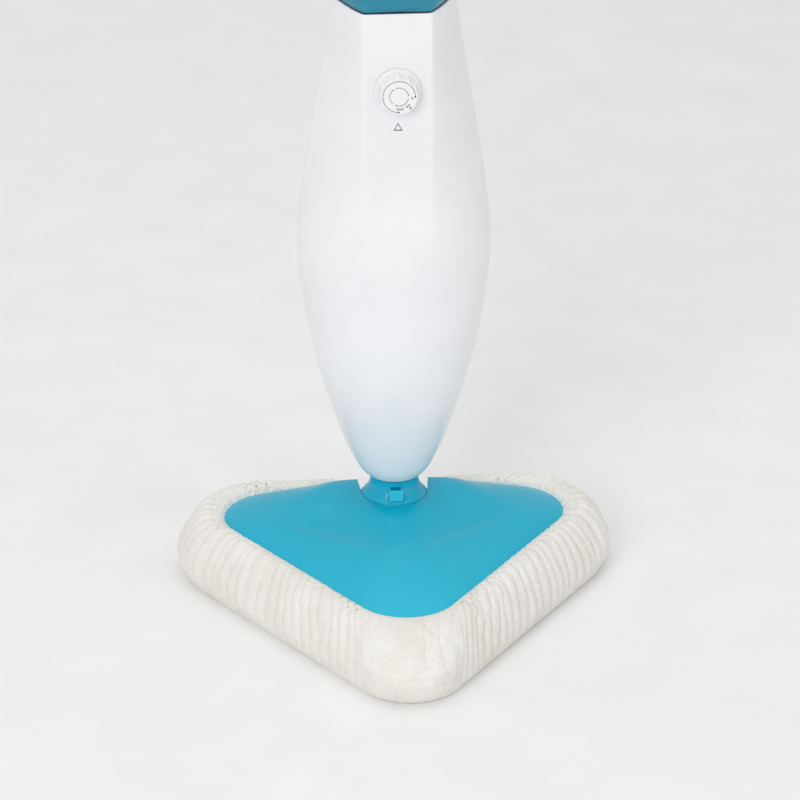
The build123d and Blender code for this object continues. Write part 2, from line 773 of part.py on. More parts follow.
# ======================================================================================
# Steam knob and valve
# ======================================================================================
def steam_knob():
    plane = facet_plane(-free_gap)
    flange = extrude(plane * Circle(knob_flange_r), amount=knob_flange_t)
    foot = plane * Circle(knob_foot_r)
    face = plane.offset(knob_h - free_gap) * Circle(knob_face_r)
    grip = loft([foot.face(), face.face()])
    grip = chamfer(grip.edges().group_by(Axis.Y)[0], 0.8)
    flute_r = 9.0
    centre = knob_foot_r + flute_r - 1.3
    for turn in range(knob_flutes):
        spin = 360.0 * turn / knob_flutes
        spot = plane.offset(knob_flange_t) * Rot(0, 0, spin) * Pos(centre, 0, 0)
        grip -= spot * Pos(0, 0, 10) * Cylinder(flute_r, 20)
    sleeve = extrude(facet_plane() * Circle(spindle_r + 2.0), amount=-6) + extrude(
        facet_plane() * Circle(spindle_r + 2.0), amount=1
    )
    return flange + grip + sleeve - extrude(facet_plane(6.5) * Circle(spindle_r), amount=12)


def valve_spindle():
    rod_part = extrude(facet_plane(18) * Circle(spindle_r), amount=23.3)
    return rod_part - extrude(facet_plane(18) * Circle(1.0), amount=3)


def steam_valve():
    plane = facet_plane(7.0)
    housing = extrude(plane * RectangleRounded(22, 24, 3), amount=-20)
    housing -= extrude(plane * Circle(spindle_r + run_fit), amount=-12)
    centre_y = valve_centre()
    housing += rod((10, centre_y, knob_z), (11 + nipple_h, centre_y, knob_z), nipple_r - 0.7)
    return housing + rod((0, centre_y, knob_z - 10), (0, centre_y, knob_z - 12 - nipple_h), nipple_r - 0.7)


def valve_centre():
    return (facet_plane(17.0).origin).Y


# ======================================================================================
# Pump, boiler and lines
# ======================================================================================
def pump():
    low, high = pump_z
    body = post(pump_r, (low + 8, high - 8), pump_x, pump_y)
    body += post(7.0, (low, high), pump_x, pump_y)
    frame = block((pump_x - 15, pump_x + 15), (pump_y - 14, pump_y + 14), (low + 22, low + 50))
    body += fillet(frame.edges().filter_by(Axis.Z), 3)
    for z in ((low - nipple_h, low), (high, high + nipple_h)):
        body += post(hose_bore_r, z, pump_x, pump_y)
    return body


def boiler():
    """A cast block with a sheathed heater in its thick rib and two nipples on top."""
    x = (-boiler_half_w, boiler_half_w)
    cast = block(x, boiler_y, boiler_z)
    cast = fillet(cast.edges().filter_by(Axis.Z), 8)
    for z in range(int(boiler_z[0]) + 12, int(boiler_z[1]) - 8, 12):
        cast -= block((-40, 40), (boiler_y[0] - 1, boiler_y[0] + 3), (z, z + 5))
    for place in (pump_x, -pump_x):
        cast += post(hose_bore_r, (boiler_z[1], boiler_z[1] + nipple_h), place, line_y)
    lug_y = boiler_y[1]
    for side in (-1, 1):
        cast -= rod((side * 24, lug_y - 9, boiler_z[0] + 8), (side * 24, lug_y + 1, boiler_z[0] + 8), screw_r)
    return cast


def boiler_bracket():
    """A steel strap behind the boiler that hangs it from the shell posts."""
    y = boiler_y[1]
    strap = block((-48, 48), (y, y + 1.5), (boiler_z[0], boiler_z[0] + 16))
    boss = boss_z[1]
    for side in (-1, 1):
        near, far = sorted((side * 38, side * 48))
        strap += block((near, far), (y, y + 1.5), (boiler_z[0], boss - 12))
        near, far = sorted((side * 38, side * 57))
        strap += block((near, far), (y, y + 1.5), (boss - 12, boss + 10))
        strap -= rod((side * 50, y - 2, boss), (side * 50, y + 3, boss), 4.5 + seat_gap)
        strap -= rod((side * 24, y - 2, boiler_z[0] + 8), (side * 24, y + 3, boiler_z[0] + 8), screw_r)
    return strap


def boiler_screws():
    y = boiler_y[1]
    z = boiler_z[0] + 8
    parts = []
    for side in (-1, 1):
        x = side * 24
        shank = rod((x, y - 8, z), (x, y + 1.5, z), screw_r)
        parts.append(shank + rod((x, y + 1.5, z), (x, y + 3.5, z), screw_head_r))
    return Compound(parts)


def thermostat():
    y = boiler_y[1]
    z = boiler_z[1] - 31.0
    disc = rod((0, y, z), (0, y + 6, z), 9.0) + rod((0, y + 6, z), (0, y + 9, z), 6.0)
    for side in (-1, 1):
        disc += block((side * 4 - 1.5, side * 4 + 1.5), (y + 9, y + 15), (z - 0.4, z + 0.4))
    return disc


def thermal_fuse():
    y = boiler_y[1]
    z = boiler_z[0] + 33.0
    return rod((-11, y + 2.6, z), (11, y + 2.6, z), 2.5) + rod((-20, y + 2.6, z), (20, y + 2.6, z), 0.6)


def terminal_block():
    z = boiler_z[1] + 11.0
    base = block((-16, 16), (24, 34), (z, z + 18))
    for x in (-10, 0, 10):
        base -= post(2.2, (z + 14, z + 24), x, 29)
        base -= rod((x, 20, z + 8), (x, 27, z + 8), 1.8)
    return base


def water_hose():
    x, y = pump_x, pump_y
    return hose([(x, y, tank_seat_z[0] - 1), (x, y, pump_z[1] + 1)], 0)


def feed_hose():
    x, y = pump_x, pump_y
    return hose([(x, y, pump_z[0] - 1), (x, y, boiler_z[1] + 1)], 0)


def valve_hose():
    x, y = -pump_x, valve_centre()
    start_z = boiler_z[1] + 1
    points = [
        (x, line_y, start_z),
        (x, line_y, start_z + 24),
        (x + 6, line_y, start_z + 64),
        (x + 6, y, knob_z),
        (12, y, knob_z),
    ]
    return hose(points, 8.0)


def steam_hose():
    y = valve_centre()
    points = [
        (0, y, knob_z - 14.5),
        (0, y, boiler_z[1] + 65),
        (0, steam_line_y, boiler_z[1] + 35),
        (0, steam_line_y, boiler_z[0] - 17),
        (0, 0, body_bottom_z + 38),
        (0, 0, body_bottom_z + 8.0),
    ]
    route = FilletPolyline(*points, radius=14.0)
    start = Plane(origin=route @ 0, z_dir=route % 0)
    outer = sweep(start * Circle(hose_r), path=route)
    inner = sweep(start * Circle(hose_bore_r), path=route)
    socket = post(nipple_r + 0.8, (body_bottom_z + 7, body_bottom_z + 14.0))
    sleeve = ring(nipple_r + 2.8, nipple_r + 0.8, (body_bottom_z + 8, body_bottom_z + 18.0))
    return outer + sleeve - inner - socket


# ======================================================================================
# Water tank
# ======================================================================================
def tank_solid(inset=0.0, floor=0.0):
    low = section_values(body_top_z)
    top_z = tank_foot_z + tank_h - floor
    faces = []
    for share in (0.0, 0.5, 1.0):
        ease = share * (1.25 - 0.25 * share)
        top = (tank_top_half_w, tank_top_front, tank_top_rear, 14.0, 0.8)
        values = [a + (b - a) * ease for a, b in zip(low, top)]
        values[0] -= 0.6
        z = tank_foot_z + floor + (top_z - tank_foot_z - floor) * share
        faces.append(body_face(z, *values, inset=inset))
    return loft(faces, ruled=True)


def pole_channel(r):
    """What the tank leaves free for the pole, open to the rear."""
    z = (tank_foot_z - 5, tank_foot_z + tank_h + 5)
    return post(r, z, 0, pole_y) + block((-r, r), (pole_y, 80), z)


def water_tank():
    channel_r = pole_r + collar_wall + 1.0
    outer = tank_solid() - pole_channel(channel_r)
    inner = tank_solid(inset=tank_wall, floor=tank_wall) - pole_channel(channel_r + tank_wall)
    tank = outer - inner
    top_z = tank_foot_z + tank_h
    tank += ring(filler_r, filler_r - filler_wall, (top_z - tank_wall, top_z + 9), 0, filler_y)
    tank -= post(filler_r - filler_wall, (top_z - 5, top_z + 12), 0, filler_y)
    tank += post(spout_r, (tank_foot_z - spout_h, tank_foot_z + 0.5), pump_x, pump_y)
    tank -= post(valve_stem_r + 1.4, (tank_foot_z - spout_h - 1, tank_foot_z), pump_x, pump_y)
    return tank - post(valve_stem_r + free_gap, (tank_foot_z - 10, tank_foot_z + 5), pump_x, pump_y)


def tank_cap():
    base_z = tank_foot_z + tank_h + 0.6
    cap = post(cap_r, (base_z, base_z + cap_h), 0, filler_y)
    cap = fillet(cap.edges().group_by(Axis.Z)[-1], 1.5)
    cap -= post(filler_r + free_gap, (base_z - 1, base_z + 9.6), 0, filler_y)
    ribs = []
    for turn in range(24):
        spin = Rot(0, 0, 15.0 * turn)
        ribs.append(Pos(0, filler_y, base_z + 5.5) * spin * Pos(cap_r, 0, 0) * Cylinder(0.5, 7))
    return cap + Compound(ribs)


def cap_seal():
    z = tank_foot_z + tank_h + 9.2
    return ring(filler_r - 0.1, filler_r - 2.4, (z, z + 0.8), 0, filler_y)


def tank_valve():
    z = tank_foot_z + tank_wall + seat_gap
    poppet = post(valve_disc_r, (z, z + 1.6), pump_x, pump_y)
    stem = post(valve_stem_r, (tank_foot_z - spout_h + 1.6, z), pump_x, pump_y)
    foot_z = tank_foot_z - spout_h + 0.6
    return poppet + stem + post(valve_stem_r + 1.0, (foot_z, foot_z + 1.0), pump_x, pump_y)


def valve_spring():
    z = (tank_foot_z - spout_h + 1.7, tank_foot_z - 0.1)
    return coil(valve_stem_r + 0.7, 0.3, z, 3.0, pump_x, pump_y)


# ======================================================================================
# Pole
# ======================================================================================
def pole_socket():
    """The collar in the body's mouth that grips the foot of the pole."""
    z = (pole_foot_z - 4, tank_seat_z[1] + 3.0)
    collar = post(pole_r + collar_wall, z, 0, pole_y)
    collar -= post(pole_r, (pole_foot_z, z[1] + 1), 0, pole_y)
    return collar - post(pole_r - 3, (z[0] - 1, z[0] + 6), 0, pole_y)


def lower_pole():
    tube = ring(pole_r, pole_r - pole_wall, (pole_foot_z, pole_joint_z), 0, pole_y)
    return tube - snap_hole()


def upper_pole():
    """Its lower end is drawn down to plug into the lower pole."""
    plug_r = pole_r - pole_wall - 0.1
    tube = ring(pole_r, pole_r - pole_wall, (pole_joint_z + 0.2, pole_top_z), 0, pole_y)
    plug = ring(plug_r, plug_r - pole_wall, (pole_joint_z - pole_lap, pole_joint_z + 3), 0, pole_y)
    neck = ring(pole_r - 0.1, plug_r - pole_wall, (pole_joint_z + 0.2, pole_joint_z + 3), 0, pole_y)
    return tube + plug + neck - snap_hole()


def snap_hole():
    return rod((0, pole_y, snap_z), (0, pole_y + 30, snap_z), snap_r + 0.3)


def pole_coupling():
    z = (pole_joint_z - pole_lap, pole_joint_z + pole_lap * 0.6)
    sleeve = post(pole_r + collar_wall, z, 0, pole_y)
    sleeve = fillet(sleeve.edges().filter_by(GeomType.CIRCLE), 1.5)
    return sleeve - post(pole_r, (z[0] - 1, z[1] + 1), 0, pole_y) - snap_hole()


def snap_button():
    start = pole_y + pole_r - pole_wall * 2 - 1.4
    end = pole_y + pole_r + collar_wall + 1.4
    button = rod((0, start, snap_z), (0, end, snap_z), snap_r)
    button = fillet(button.edges().group_by(Axis.Y)[-1], 1.0)
    return button + rod((0, start - 0.8, snap_z), (0, start, snap_z), snap_r + 1.0)


def snap_spring():
    """A bent strip across the inside of the pole that pushes the button out."""
    y_button = pole_y + pole_r - pole_wall * 2 - 2.3
    y_wall = pole_y - pole_r + pole_wall * 2 + 0.6
    z = (snap_z - 11, snap_z + 3.5)
    strip = block((-3, 3), (y_button - 0.6, y_button), z) + block((-3, 3), (y_wall, y_wall + 0.6), z)
    return strip + block((-3, 3), (y_wall, y_button), (z[0], z[0] + 0.6))


# ======================================================================================
# Handle
# ======================================================================================
def side_plane(x=0.0):
    """Level with the middle of the handle, drawing in Y and Z."""
    return Plane(origin=(x, pole_y, handle_z), x_dir=(0, 1, 0), z_dir=(1, 0, 0))


def loop_outline(grow, bar=0.0):
    """The loop's outer edge, or its inner edge where a bar's width is given."""
    half_depth, half_h = handle_half_depth + grow - bar, handle_half_h + grow - bar
    return RectangleRounded(2 * half_depth, 2 * half_h, half_depth - loop_flat)


def loop_solid(grow, half_w):
    """The handle's loop, swelled or drawn in by an amount."""
    plane = side_plane(-half_w)
    outer = extrude(plane * loop_outline(grow), amount=2 * half_w)
    return outer - extrude(plane * loop_outline(-grow, handle_bar), amount=2 * half_w)


bar_y = handle_half_depth - handle_bar / 2
handle_screw_places = [(-bar_y, 0), (bar_y, 0), (0, handle_half_h - handle_bar / 2)]


def handle_halves():
    loop = loop_solid(0.0, handle_half_w - 3.0) + loop_solid(-2.0, handle_half_w)
    foot = post(pole_r + collar_wall + 1, (handle_foot_z, handle_z - handle_half_h + 9), 0, pole_y)
    hollow = loop_solid(-handle_wall, handle_half_w - handle_wall)
    hollow -= block((-20, 20), (pole_y - 20, pole_y + 20), (0, handle_z - handle_half_h + 15))
    for y, z in handle_screw_places:
        hollow -= rod((-30, pole_y + y, handle_z + z), (30, pole_y + y, handle_z + z), 4.0)
    whole = loop + foot - hollow
    whole -= post(pole_r, (0, pole_top_z + 0.5), 0, pole_y)
    left = only(whole, x=(-50, 0))
    right = only(whole, x=(0, 50))
    for y, z in handle_screw_places:
        at = (pole_y + y, handle_z + z)
        left -= rod((-9, *at), (1, *at), screw_r)
        right -= rod((-1, *at), (50, *at), screw_r + seat_gap)
        right -= rod((6, *at), (50, *at), screw_head_r + seat_gap)
    return left, right


def handle_screws():
    parts = []
    for y, z in handle_screw_places:
        at = (pole_y + y, handle_z + z)
        head = rod((6, *at), (8, *at), screw_head_r)
        parts.append(head + rod((-8, *at), (6, *at), screw_r) - rod((7, *at), (9, *at), 1.0))
    return Compound(parts)


def grip_pad():
    """A rubber strip bonded over the back and top of the loop."""
    plane = side_plane(-grip_half_w)
    band = extrude(plane * loop_outline(grip_t), amount=2 * grip_half_w)
    band -= extrude(plane * loop_outline(0.0), amount=2 * grip_half_w)
    strip = only(band, z=(handle_z - 5, 1300))
    crown_z = handle_z + handle_half_h - handle_half_depth
    for turn in range(9):
        angle = math.radians(18 + 18 * turn)
        reach = handle_half_depth + grip_t + 0.9
        y, z = pole_y + reach * math.cos(angle), crown_z + reach * math.sin(angle)
        strip -= rod((-grip_half_w - 1, y, z), (grip_half_w + 1, y, z), 1.6)
    return strip


# ======================================================================================
# Cord hooks
# ======================================================================================
def hook_arm(y, z, up):
    """An arm that reaches back from a face, with a tip that turns up or down."""
    sign = 1 if up else -1
    low, high = sorted((z - sign * hook_t / 2, z + sign * hook_tip))
    half = hook_w / 2
    arm = block((-half, half), (y, y + hook_reach), (z - hook_t / 2, z + hook_t / 2))
    tip = block((-half, half), (y + hook_reach - hook_t, y + hook_reach), (low, high))
    arm = arm + tip
    return fillet(arm.edges().filter_by(Axis.X), 1.8)


def collar(z):
    half = 10.0
    clamp = post(pole_r + collar_wall, (z - half, z + half), 0, pole_y)
    clamp = fillet(clamp.edges().filter_by(GeomType.CIRCLE), 1.2)
    return clamp, post(pole_r, (z - 20, z + 20), 0, pole_y)


def lower_cord_hook():
    clamp, bore = collar(hook_lower_z)
    arm = hook_arm(pole_y + pole_r + 1, hook_lower_z, up=False)
    return clamp + arm - bore


hook_face_y = pole_y + pole_r + collar_wall + 4.0


def hook_collar():
    clamp, bore = collar(hook_upper_z)
    boss = rod((0, pole_y, hook_upper_z), (0, hook_face_y, hook_upper_z), 8.0)
    hole = rod((0, pole_y, hook_upper_z), (0, hook_face_y + 1, hook_upper_z), screw_r)
    return clamp + boss - bore - hole


def upper_cord_hook():
    face = hook_face_y + 0.3
    disc = rod((0, face, hook_upper_z), (0, face + 5, hook_upper_z), 9.0)
    arm = hook_arm(face, hook_upper_z, up=True)
    bore = rod((0, face - 1, hook_upper_z), (0, face + 60, hook_upper_z), screw_r + run_fit)
    recess = rod((0, face + 3, hook_upper_z), (0, face + 60, hook_upper_z), screw_head_r + 0.3)
    return disc + arm - bore - recess


def hook_screw():
    face = hook_face_y + 0.3
    head = rod((0, face + 3.3, hook_upper_z), (0, face + 5.0, hook_upper_z), screw_head_r)
    return head + rod((0, hook_face_y - 6.5, hook_upper_z), (0, face + 3.3, hook_upper_z), screw_r)


# ======================================================================================
# Write every piece
# ======================================================================================
def build():
    front_shell, rear_shell = shells()
    handle_left, handle_right = handle_halves()
    return {
        "head_cover": head_cover(),
        "head_base": head_base(),
        "head_screws": head_screws(),
        "hinge_bracket": hinge_bracket(),
        "bracket_screws": bracket_screws(),
        "tilt_pin": tilt_pin(),
        "steam_elbow": steam_elbow(),
        "steam_nozzle": steam_nozzle(),
        "nozzle_seal": nozzle_seal(),
        "mop_pad": mop_pad(),
        "pad_elastic": pad_elastic(),
        "tilt_ball": tilt_ball(),
        "swivel_hose": swivel_hose(),
        "neck_socket": neck_socket(),
        "neck_ring": neck_ring(),
        "release_button": release_button(),
        "latch_spring": latch_spring(),
        "swivel_clip": swivel_clip(),
        "swivel_seal": swivel_seal(),
        "body_spigot": body_spigot(),
        "spigot_seal": spigot_seal(),
        "front_shell": front_shell,
        "rear_shell": rear_shell,
        "shell_screws": shell_screws(),
        "cord_gland": cord_gland(),
        "tank_seat": tank_seat(),
        "inlet_seal": inlet_seal(),
        "steam_knob": steam_knob(),
        "valve_spindle": valve_spindle(),
        "steam_valve": steam_valve(),
        "pump": pump(),
        "boiler": boiler(),
        "boiler_bracket": boiler_bracket(),
        "boiler_screws": boiler_screws(),
        "thermostat": thermostat(),
        "thermal_fuse": thermal_fuse(),
        "terminal_block": terminal_block(),
        "water_hose": water_hose(),
        "feed_hose": feed_hose(),
        "valve_hose": valve_hose(),
        "steam_hose": steam_hose(),
        "water_tank": water_tank(),
        "tank_cap": tank_cap(),
        "cap_seal": cap_seal(),
        "tank_valve": tank_valve(),
        "valve_spring": valve_spring(),
        "pole_socket": pole_socket(),
        "lower_pole": lower_pole(),
        "upper_pole": upper_pole(),
        "pole_coupling": pole_coupling(),
        "snap_button": snap_button(),
        "snap_spring": snap_spring(),
        "handle_left": handle_left,
        "handle_right": handle_right,
        "handle_screws": handle_screws(),
        "grip_pad": grip_pad(),
        "lower_cord_hook": lower_cord_hook(),
        "hook_collar": hook_collar(),
        "upper_cord_hook": upper_cord_hook(),
        "hook_screw": hook_screw(),
    }


os.makedirs("parts", exist_ok=True)
for name, shape in build().items():
    export_step(shape, f"parts/{name}.step")
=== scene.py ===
# %% [markdown]
# # An upright steam mop
# The engineering model comes first: it holds every solid at its real size, and the bodies
# that its joints move. This lesson dresses it. Hard pieces whose shape is already right only
# get a finish; the big mouldings, the cloth pad and the knob get meshes of their own, because
# their soft transitions are easier to shape as grids of points than as machined solids.

import math

import bpy
import numpy as np
from mathutils import Matrix, Vector
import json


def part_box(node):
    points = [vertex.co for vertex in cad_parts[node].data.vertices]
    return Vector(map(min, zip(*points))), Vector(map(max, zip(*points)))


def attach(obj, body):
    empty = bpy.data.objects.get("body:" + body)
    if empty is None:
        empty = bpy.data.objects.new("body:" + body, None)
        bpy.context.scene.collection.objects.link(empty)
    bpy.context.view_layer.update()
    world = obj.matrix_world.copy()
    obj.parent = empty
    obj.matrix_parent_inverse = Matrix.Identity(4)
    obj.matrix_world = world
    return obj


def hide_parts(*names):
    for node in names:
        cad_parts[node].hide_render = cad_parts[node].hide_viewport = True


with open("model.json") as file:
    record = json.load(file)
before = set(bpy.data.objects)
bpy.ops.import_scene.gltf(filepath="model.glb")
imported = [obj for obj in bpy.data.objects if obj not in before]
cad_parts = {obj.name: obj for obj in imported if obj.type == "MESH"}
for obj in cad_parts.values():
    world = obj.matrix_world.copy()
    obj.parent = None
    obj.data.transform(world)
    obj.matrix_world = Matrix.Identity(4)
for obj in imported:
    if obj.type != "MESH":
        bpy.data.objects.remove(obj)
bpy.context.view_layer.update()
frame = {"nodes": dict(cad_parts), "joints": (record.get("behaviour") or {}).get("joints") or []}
nodes = frame["nodes"]
joints = {joint["name"]: joint for joint in frame["joints"]}
mm = 0.001

# %% [markdown]
# ## Camera
# The mop is seen from a little above and slightly to its left, from three metres away with a
# long lens, so that the tall body hardly tapers. Aiming at a point low on the body keeps the
# head near the bottom of the frame.

# %% Camera
camera_data = bpy.data.cameras.new("camera")
camera_data.lens = 207.8
camera_data.clip_start, camera_data.clip_end = 0.1, 60.0
camera = bpy.data.objects.new("camera", camera_data)
bpy.context.scene.collection.objects.link(camera)
camera_spin, camera_reach, camera_height = math.radians(-3.8), 3.0, 1.6
camera.location = (math.sin(camera_spin) * camera_reach, -math.cos(camera_spin) * camera_reach, camera_height)
camera_aim = Vector((0.0042, 0.0, 0.138))
camera.rotation_euler = (camera_aim - camera.location).to_track_quat("-Z", "Y").to_euler()
bpy.context.scene.camera = camera

# %% [markdown]
# ## Shader sums
# A finish is a small sum: noise, stripes and masks that are added and mixed. Written as node
# links it is hard to read, so one class wraps a socket and turns +, - and * into Math nodes.
# Every other node comes from its one `node` method.


# %% A socket that can be added and multiplied
class Sum:
    """One output of a node in a material. Arithmetic on it adds Math nodes."""

    def __init__(self, tree, socket=None):
        self.tree, self.socket = tree, socket

    def node(self, kind, settings=None, inputs=None, output=0):
        """Adds a node: settings are set first, then its sockets get values or links."""
        made = self.tree.nodes.new(kind)
        for name, value in (settings or {}).items():
            setattr(made, name, value)
        for name, value in (inputs or {}).items():
            if isinstance(value, Sum):
                self.tree.links.new(value.socket, made.inputs[name])
            else:
                made.inputs[name].default_value = value
        return Sum(self.tree, made.outputs[output])

    def math(self, operation, *values):
        return self.node("ShaderNodeMath", {"operation": operation}, dict(enumerate(values)))

    def __add__(self, other):
        return self.math("ADD", self, other)

    def __sub__(self, other):
        return self.math("SUBTRACT", self, other)

    def __rsub__(self, other):
        return self.math("SUBTRACT", other, self)

    def __mul__(self, other):
        return self.math("MULTIPLY", self, other)

    __radd__, __rmul__ = __add__, __mul__

    def between(self, low, high):
        """0 below low, 1 above high, smooth in between."""
        settings = {"interpolation_type": "SMOOTHSTEP"}
        return self.node("ShaderNodeMapRange", settings, {"Value": self, "From Min": low, "From Max": high})

    def tint(self, colour_a, colour_b):
        """Mixes two colours by this number."""
        settings = {"data_type": "RGBA"}
        return self.node("ShaderNodeMix", settings, {"Factor": self, 6: colour_a, 7: colour_b}, output=2)


# %% [markdown]
# ## A finish
# Every finish starts the same way: a Principled shader, the place of the point on the object,
# and noise at a few scales. A moulded part isn't one flat colour. It has faint flow marks, a
# little dust, and gloss that changes from place to place, so each finish mixes two close
# colours, spreads its roughness, and has a very small bump.


# %% Noise and the shared finish
def linear(part):
    """One colour value from 0 to 255, as a screen shows it, made linear."""
    return ((part / 255 + 0.055) / 1.055) ** 2.4 if part > 10 else part / 3295


def rgb(red, green, blue):
    """A linear colour from 0 to 255 values as a screen shows them."""
    return linear(red), linear(green), linear(blue), 1


def new_finish(name, **constants):
    """A material with a Principled shader, and the place of each point as a socket."""
    material = bpy.data.materials.new(name)
    material.use_nodes = True
    tree = material.node_tree
    shader = next(node for node in tree.nodes if node.type == "BSDF_PRINCIPLED")
    for socket, value in constants.items():
        shader.inputs[socket.replace("_", " ")].default_value = value
    start = Sum(tree)
    place = start.node("ShaderNodeTexCoord", output=3)
    return material, shader, place


def noise(place, scale, detail=2.0, stretch=(1, 1, 1)):
    """Noise from 0 to 1 whose patches are about 1/scale metres across."""
    spread = place.node("ShaderNodeVectorMath", {"operation": "MULTIPLY"}, {0: place, 1: stretch})
    return place.node("ShaderNodeTexNoise", None, {"Vector": spread, "Scale": scale, "Detail": detail})


def feed(shader, **sums):
    """Links what changes over the surface to the shader."""
    for socket, value in sums.items():
        value.tree.links.new(value.socket, shader.inputs[socket.replace("_", " ")])


def bump(height, distance, strength=1.0):
    settings = {"Height": height, "Distance": distance, "Strength": strength}
    return height.node("ShaderNodeBump", None, settings)


def moulded(name, light, dark, rough=(0.2, 0.3), grain=900.0, depth=0.00002, stretch=(1, 1, 1), **constants):
    """A finish of two close colours with cloudy gloss and a fine grain."""
    material, shader, place = new_finish(name, **constants)
    cloud = noise(place, 14.0, 3.0, stretch)
    fine = noise(place, grain, 2.0, stretch)
    feed(
        shader,
        Base_Color=(cloud * 0.8 + fine * 0.2).between(0.3, 0.7).tint(light, dark),
        Roughness=rough[0] + (rough[1] - rough[0]) * (cloud * 0.6 + fine * 0.4),
        Normal=bump(fine, depth),
    )
    return material


# %% [markdown]
# ## The finishes of this mop
# The body is glossy white ABS and the head cover is glossy aqua ABS that looks lighter towards
# the front, where it slopes into the light. The tank is clear blue. The tubes are anodised
# aluminium, whose fine drawing marks run along the tube, so its noise is stretched along Z.

# %% Plastics, metals and rubbers
white, off_white = rgb(243, 243, 245), rgb(236, 236, 239)
finishes = {
    "white_gloss": moulded(
        "white_gloss", white, off_white, (0.22, 0.3), 700, 0.00001,
        IOR=1.5, Coat_Weight=0.4, Coat_Roughness=0.08,
    ),
    "light_aqua": moulded("light_aqua", rgb(52, 202, 230), rgb(40, 190, 220), (0.25, 0.38)),
    "pole_silver": moulded(
        "pole_silver", rgb(205, 207, 211), rgb(186, 188, 193), (0.2, 0.36), 2500, 0.00003, (1, 1, 0.02),
        Metallic=1.0,
    ),
    "cast_alloy": moulded(
        "cast_alloy", rgb(170, 171, 173), rgb(140, 141, 144), (0.4, 0.6), 500, 0.0002, Metallic=0.9
    ),
    "steel": moulded("steel", rgb(190, 190, 192), rgb(160, 160, 163), (0.2, 0.4), 1500, 0.00003, Metallic=1.0),
    "brass_part": moulded(
        "brass_part", rgb(205, 170, 95), rgb(180, 145, 75), (0.2, 0.4), 1500, 0.00003, Metallic=1.0
    ),
    "black_plastic": moulded("black_plastic", rgb(32, 33, 35), rgb(24, 25, 27), (0.4, 0.55), 1800, 0.00006),
    "grey_plastic": moulded("grey_plastic", rgb(150, 154, 160), rgb(136, 140, 147), (0.35, 0.5), 1800, 0.00005),
    "silicone": moulded("silicone", rgb(222, 222, 216), rgb(206, 206, 200), (0.4, 0.5), 900, 0.00003),
    "dark_rubber": moulded("dark_rubber", rgb(52, 54, 58), rgb(40, 42, 46), (0.6, 0.8), 1600, 0.0001),
    "ink": moulded("ink", rgb(74, 76, 82), rgb(56, 58, 64), (0.5, 0.6), 1500, 0.00001),
}

# %% [markdown]
# ## Aqua, with painted light at the nose
# The head cover is deep aqua beside the neck and painted lighter at the nose: painted light, for
# the light that the nose catches where it slopes forward. The mask is worked out from how far
# forward a point lies, with a little slow noise so that its edge isn't a line.

# %% Aqua and clear blue
aqua, aqua_shader, aqua_place = new_finish("aqua", IOR=1.42, Coat_Weight=0.12, Coat_Roughness=0.15)
forward = aqua_place.node("ShaderNodeSeparateXYZ", None, {0: aqua_place}, output=1)
aqua_cloud = noise(aqua_place, 22.0, 3.0)
aqua_fine = noise(aqua_place, 1200.0)
# Painted light: the nose gets the lighter aqua, standing in for the light that its forward slope catches.
nose_painted_light = (aqua_cloud * 0.03 - forward).between(0.03, 0.19)
feed(
    aqua_shader,
    Base_Color=nose_painted_light.tint(rgb(0, 176, 207), rgb(12, 186, 216)),
    Roughness=0.24 + aqua_cloud * 0.1 + aqua_fine * 0.04,
    Normal=bump(aqua_cloud * 0.7 + aqua_fine * 0.02, 0.0003),
)
finishes["aqua"] = aqua
finishes["clear_blue"] = moulded(
    "clear_blue", rgb(70, 196, 224), rgb(52, 184, 216), (0.06, 0.14), 300, 0.00002,
    IOR=1.45, Transmission_Weight=0.6,
)

# %% [markdown]
# ## Terry cloth
# The pad is knitted microfibre terry. Close up it is a field of small loops, and the knit
# shows as ribs that run along the rim. The cloth's mesh carries the distance from its rim as
# an attribute, so the ribs follow the cloth through every gather, whatever the mesh's own
# layout is. Loops are a cell pattern about a millimetre across, with painted shade in the gaps between them.


# %% Terry cloth and elastic
def terry(name, light, dark):
    material, shader, place = new_finish(name, Sheen_Weight=0.1, Sheen_Roughness=0.5, Specular_IOR_Level=0.15)
    run = place.node("ShaderNodeAttribute", {"attribute_name": "from_rim"}, output=2)
    wander = noise(place, 60.0, 2.0)
    rib_pitch, rib_wander = 0.0024, 0.0008
    angle = (run + wander * rib_wander) * (2 * math.pi / rib_pitch)
    rib = angle.math("SINE", angle)
    loops = place.node("ShaderNodeTexVoronoi", {"feature": "F1"}, {"Vector": place, "Scale": 850.0})
    fuzz = noise(place, 2600.0, 2.0)
    patch = noise(place, 35.0, 3.0)
    height = rib * 0.3 + (1 - loops) * 0.8 + fuzz * 0.5
    # Painted shade: the loops term darkens the colour in the gaps between loops, where the bump is low; patch
    # and fuzz are random tone.
    feed(
        shader,
        Base_Color=(patch * 0.5 + loops * 0.35 + fuzz * 0.15).between(0.25, 0.75).tint(light, dark),
        Roughness=0.85 + fuzz * 0.12,
        Normal=bump(height, 0.0004, 0.45),
    )
    return material


finishes["pad_cloth"] = terry("pad_cloth", rgb(243, 241, 236), rgb(228, 225, 217))
finishes["elastic"] = terry("elastic", rgb(236, 234, 229), rgb(214, 211, 204))
print(len(finishes), "finishes")

# %% [markdown]
# ## Dress the pieces that keep their shape
# Pumps, hoses, screws, seals, tubes and hooks are right as they are. Each keeps its mesh and
# takes the finish that its real material has.

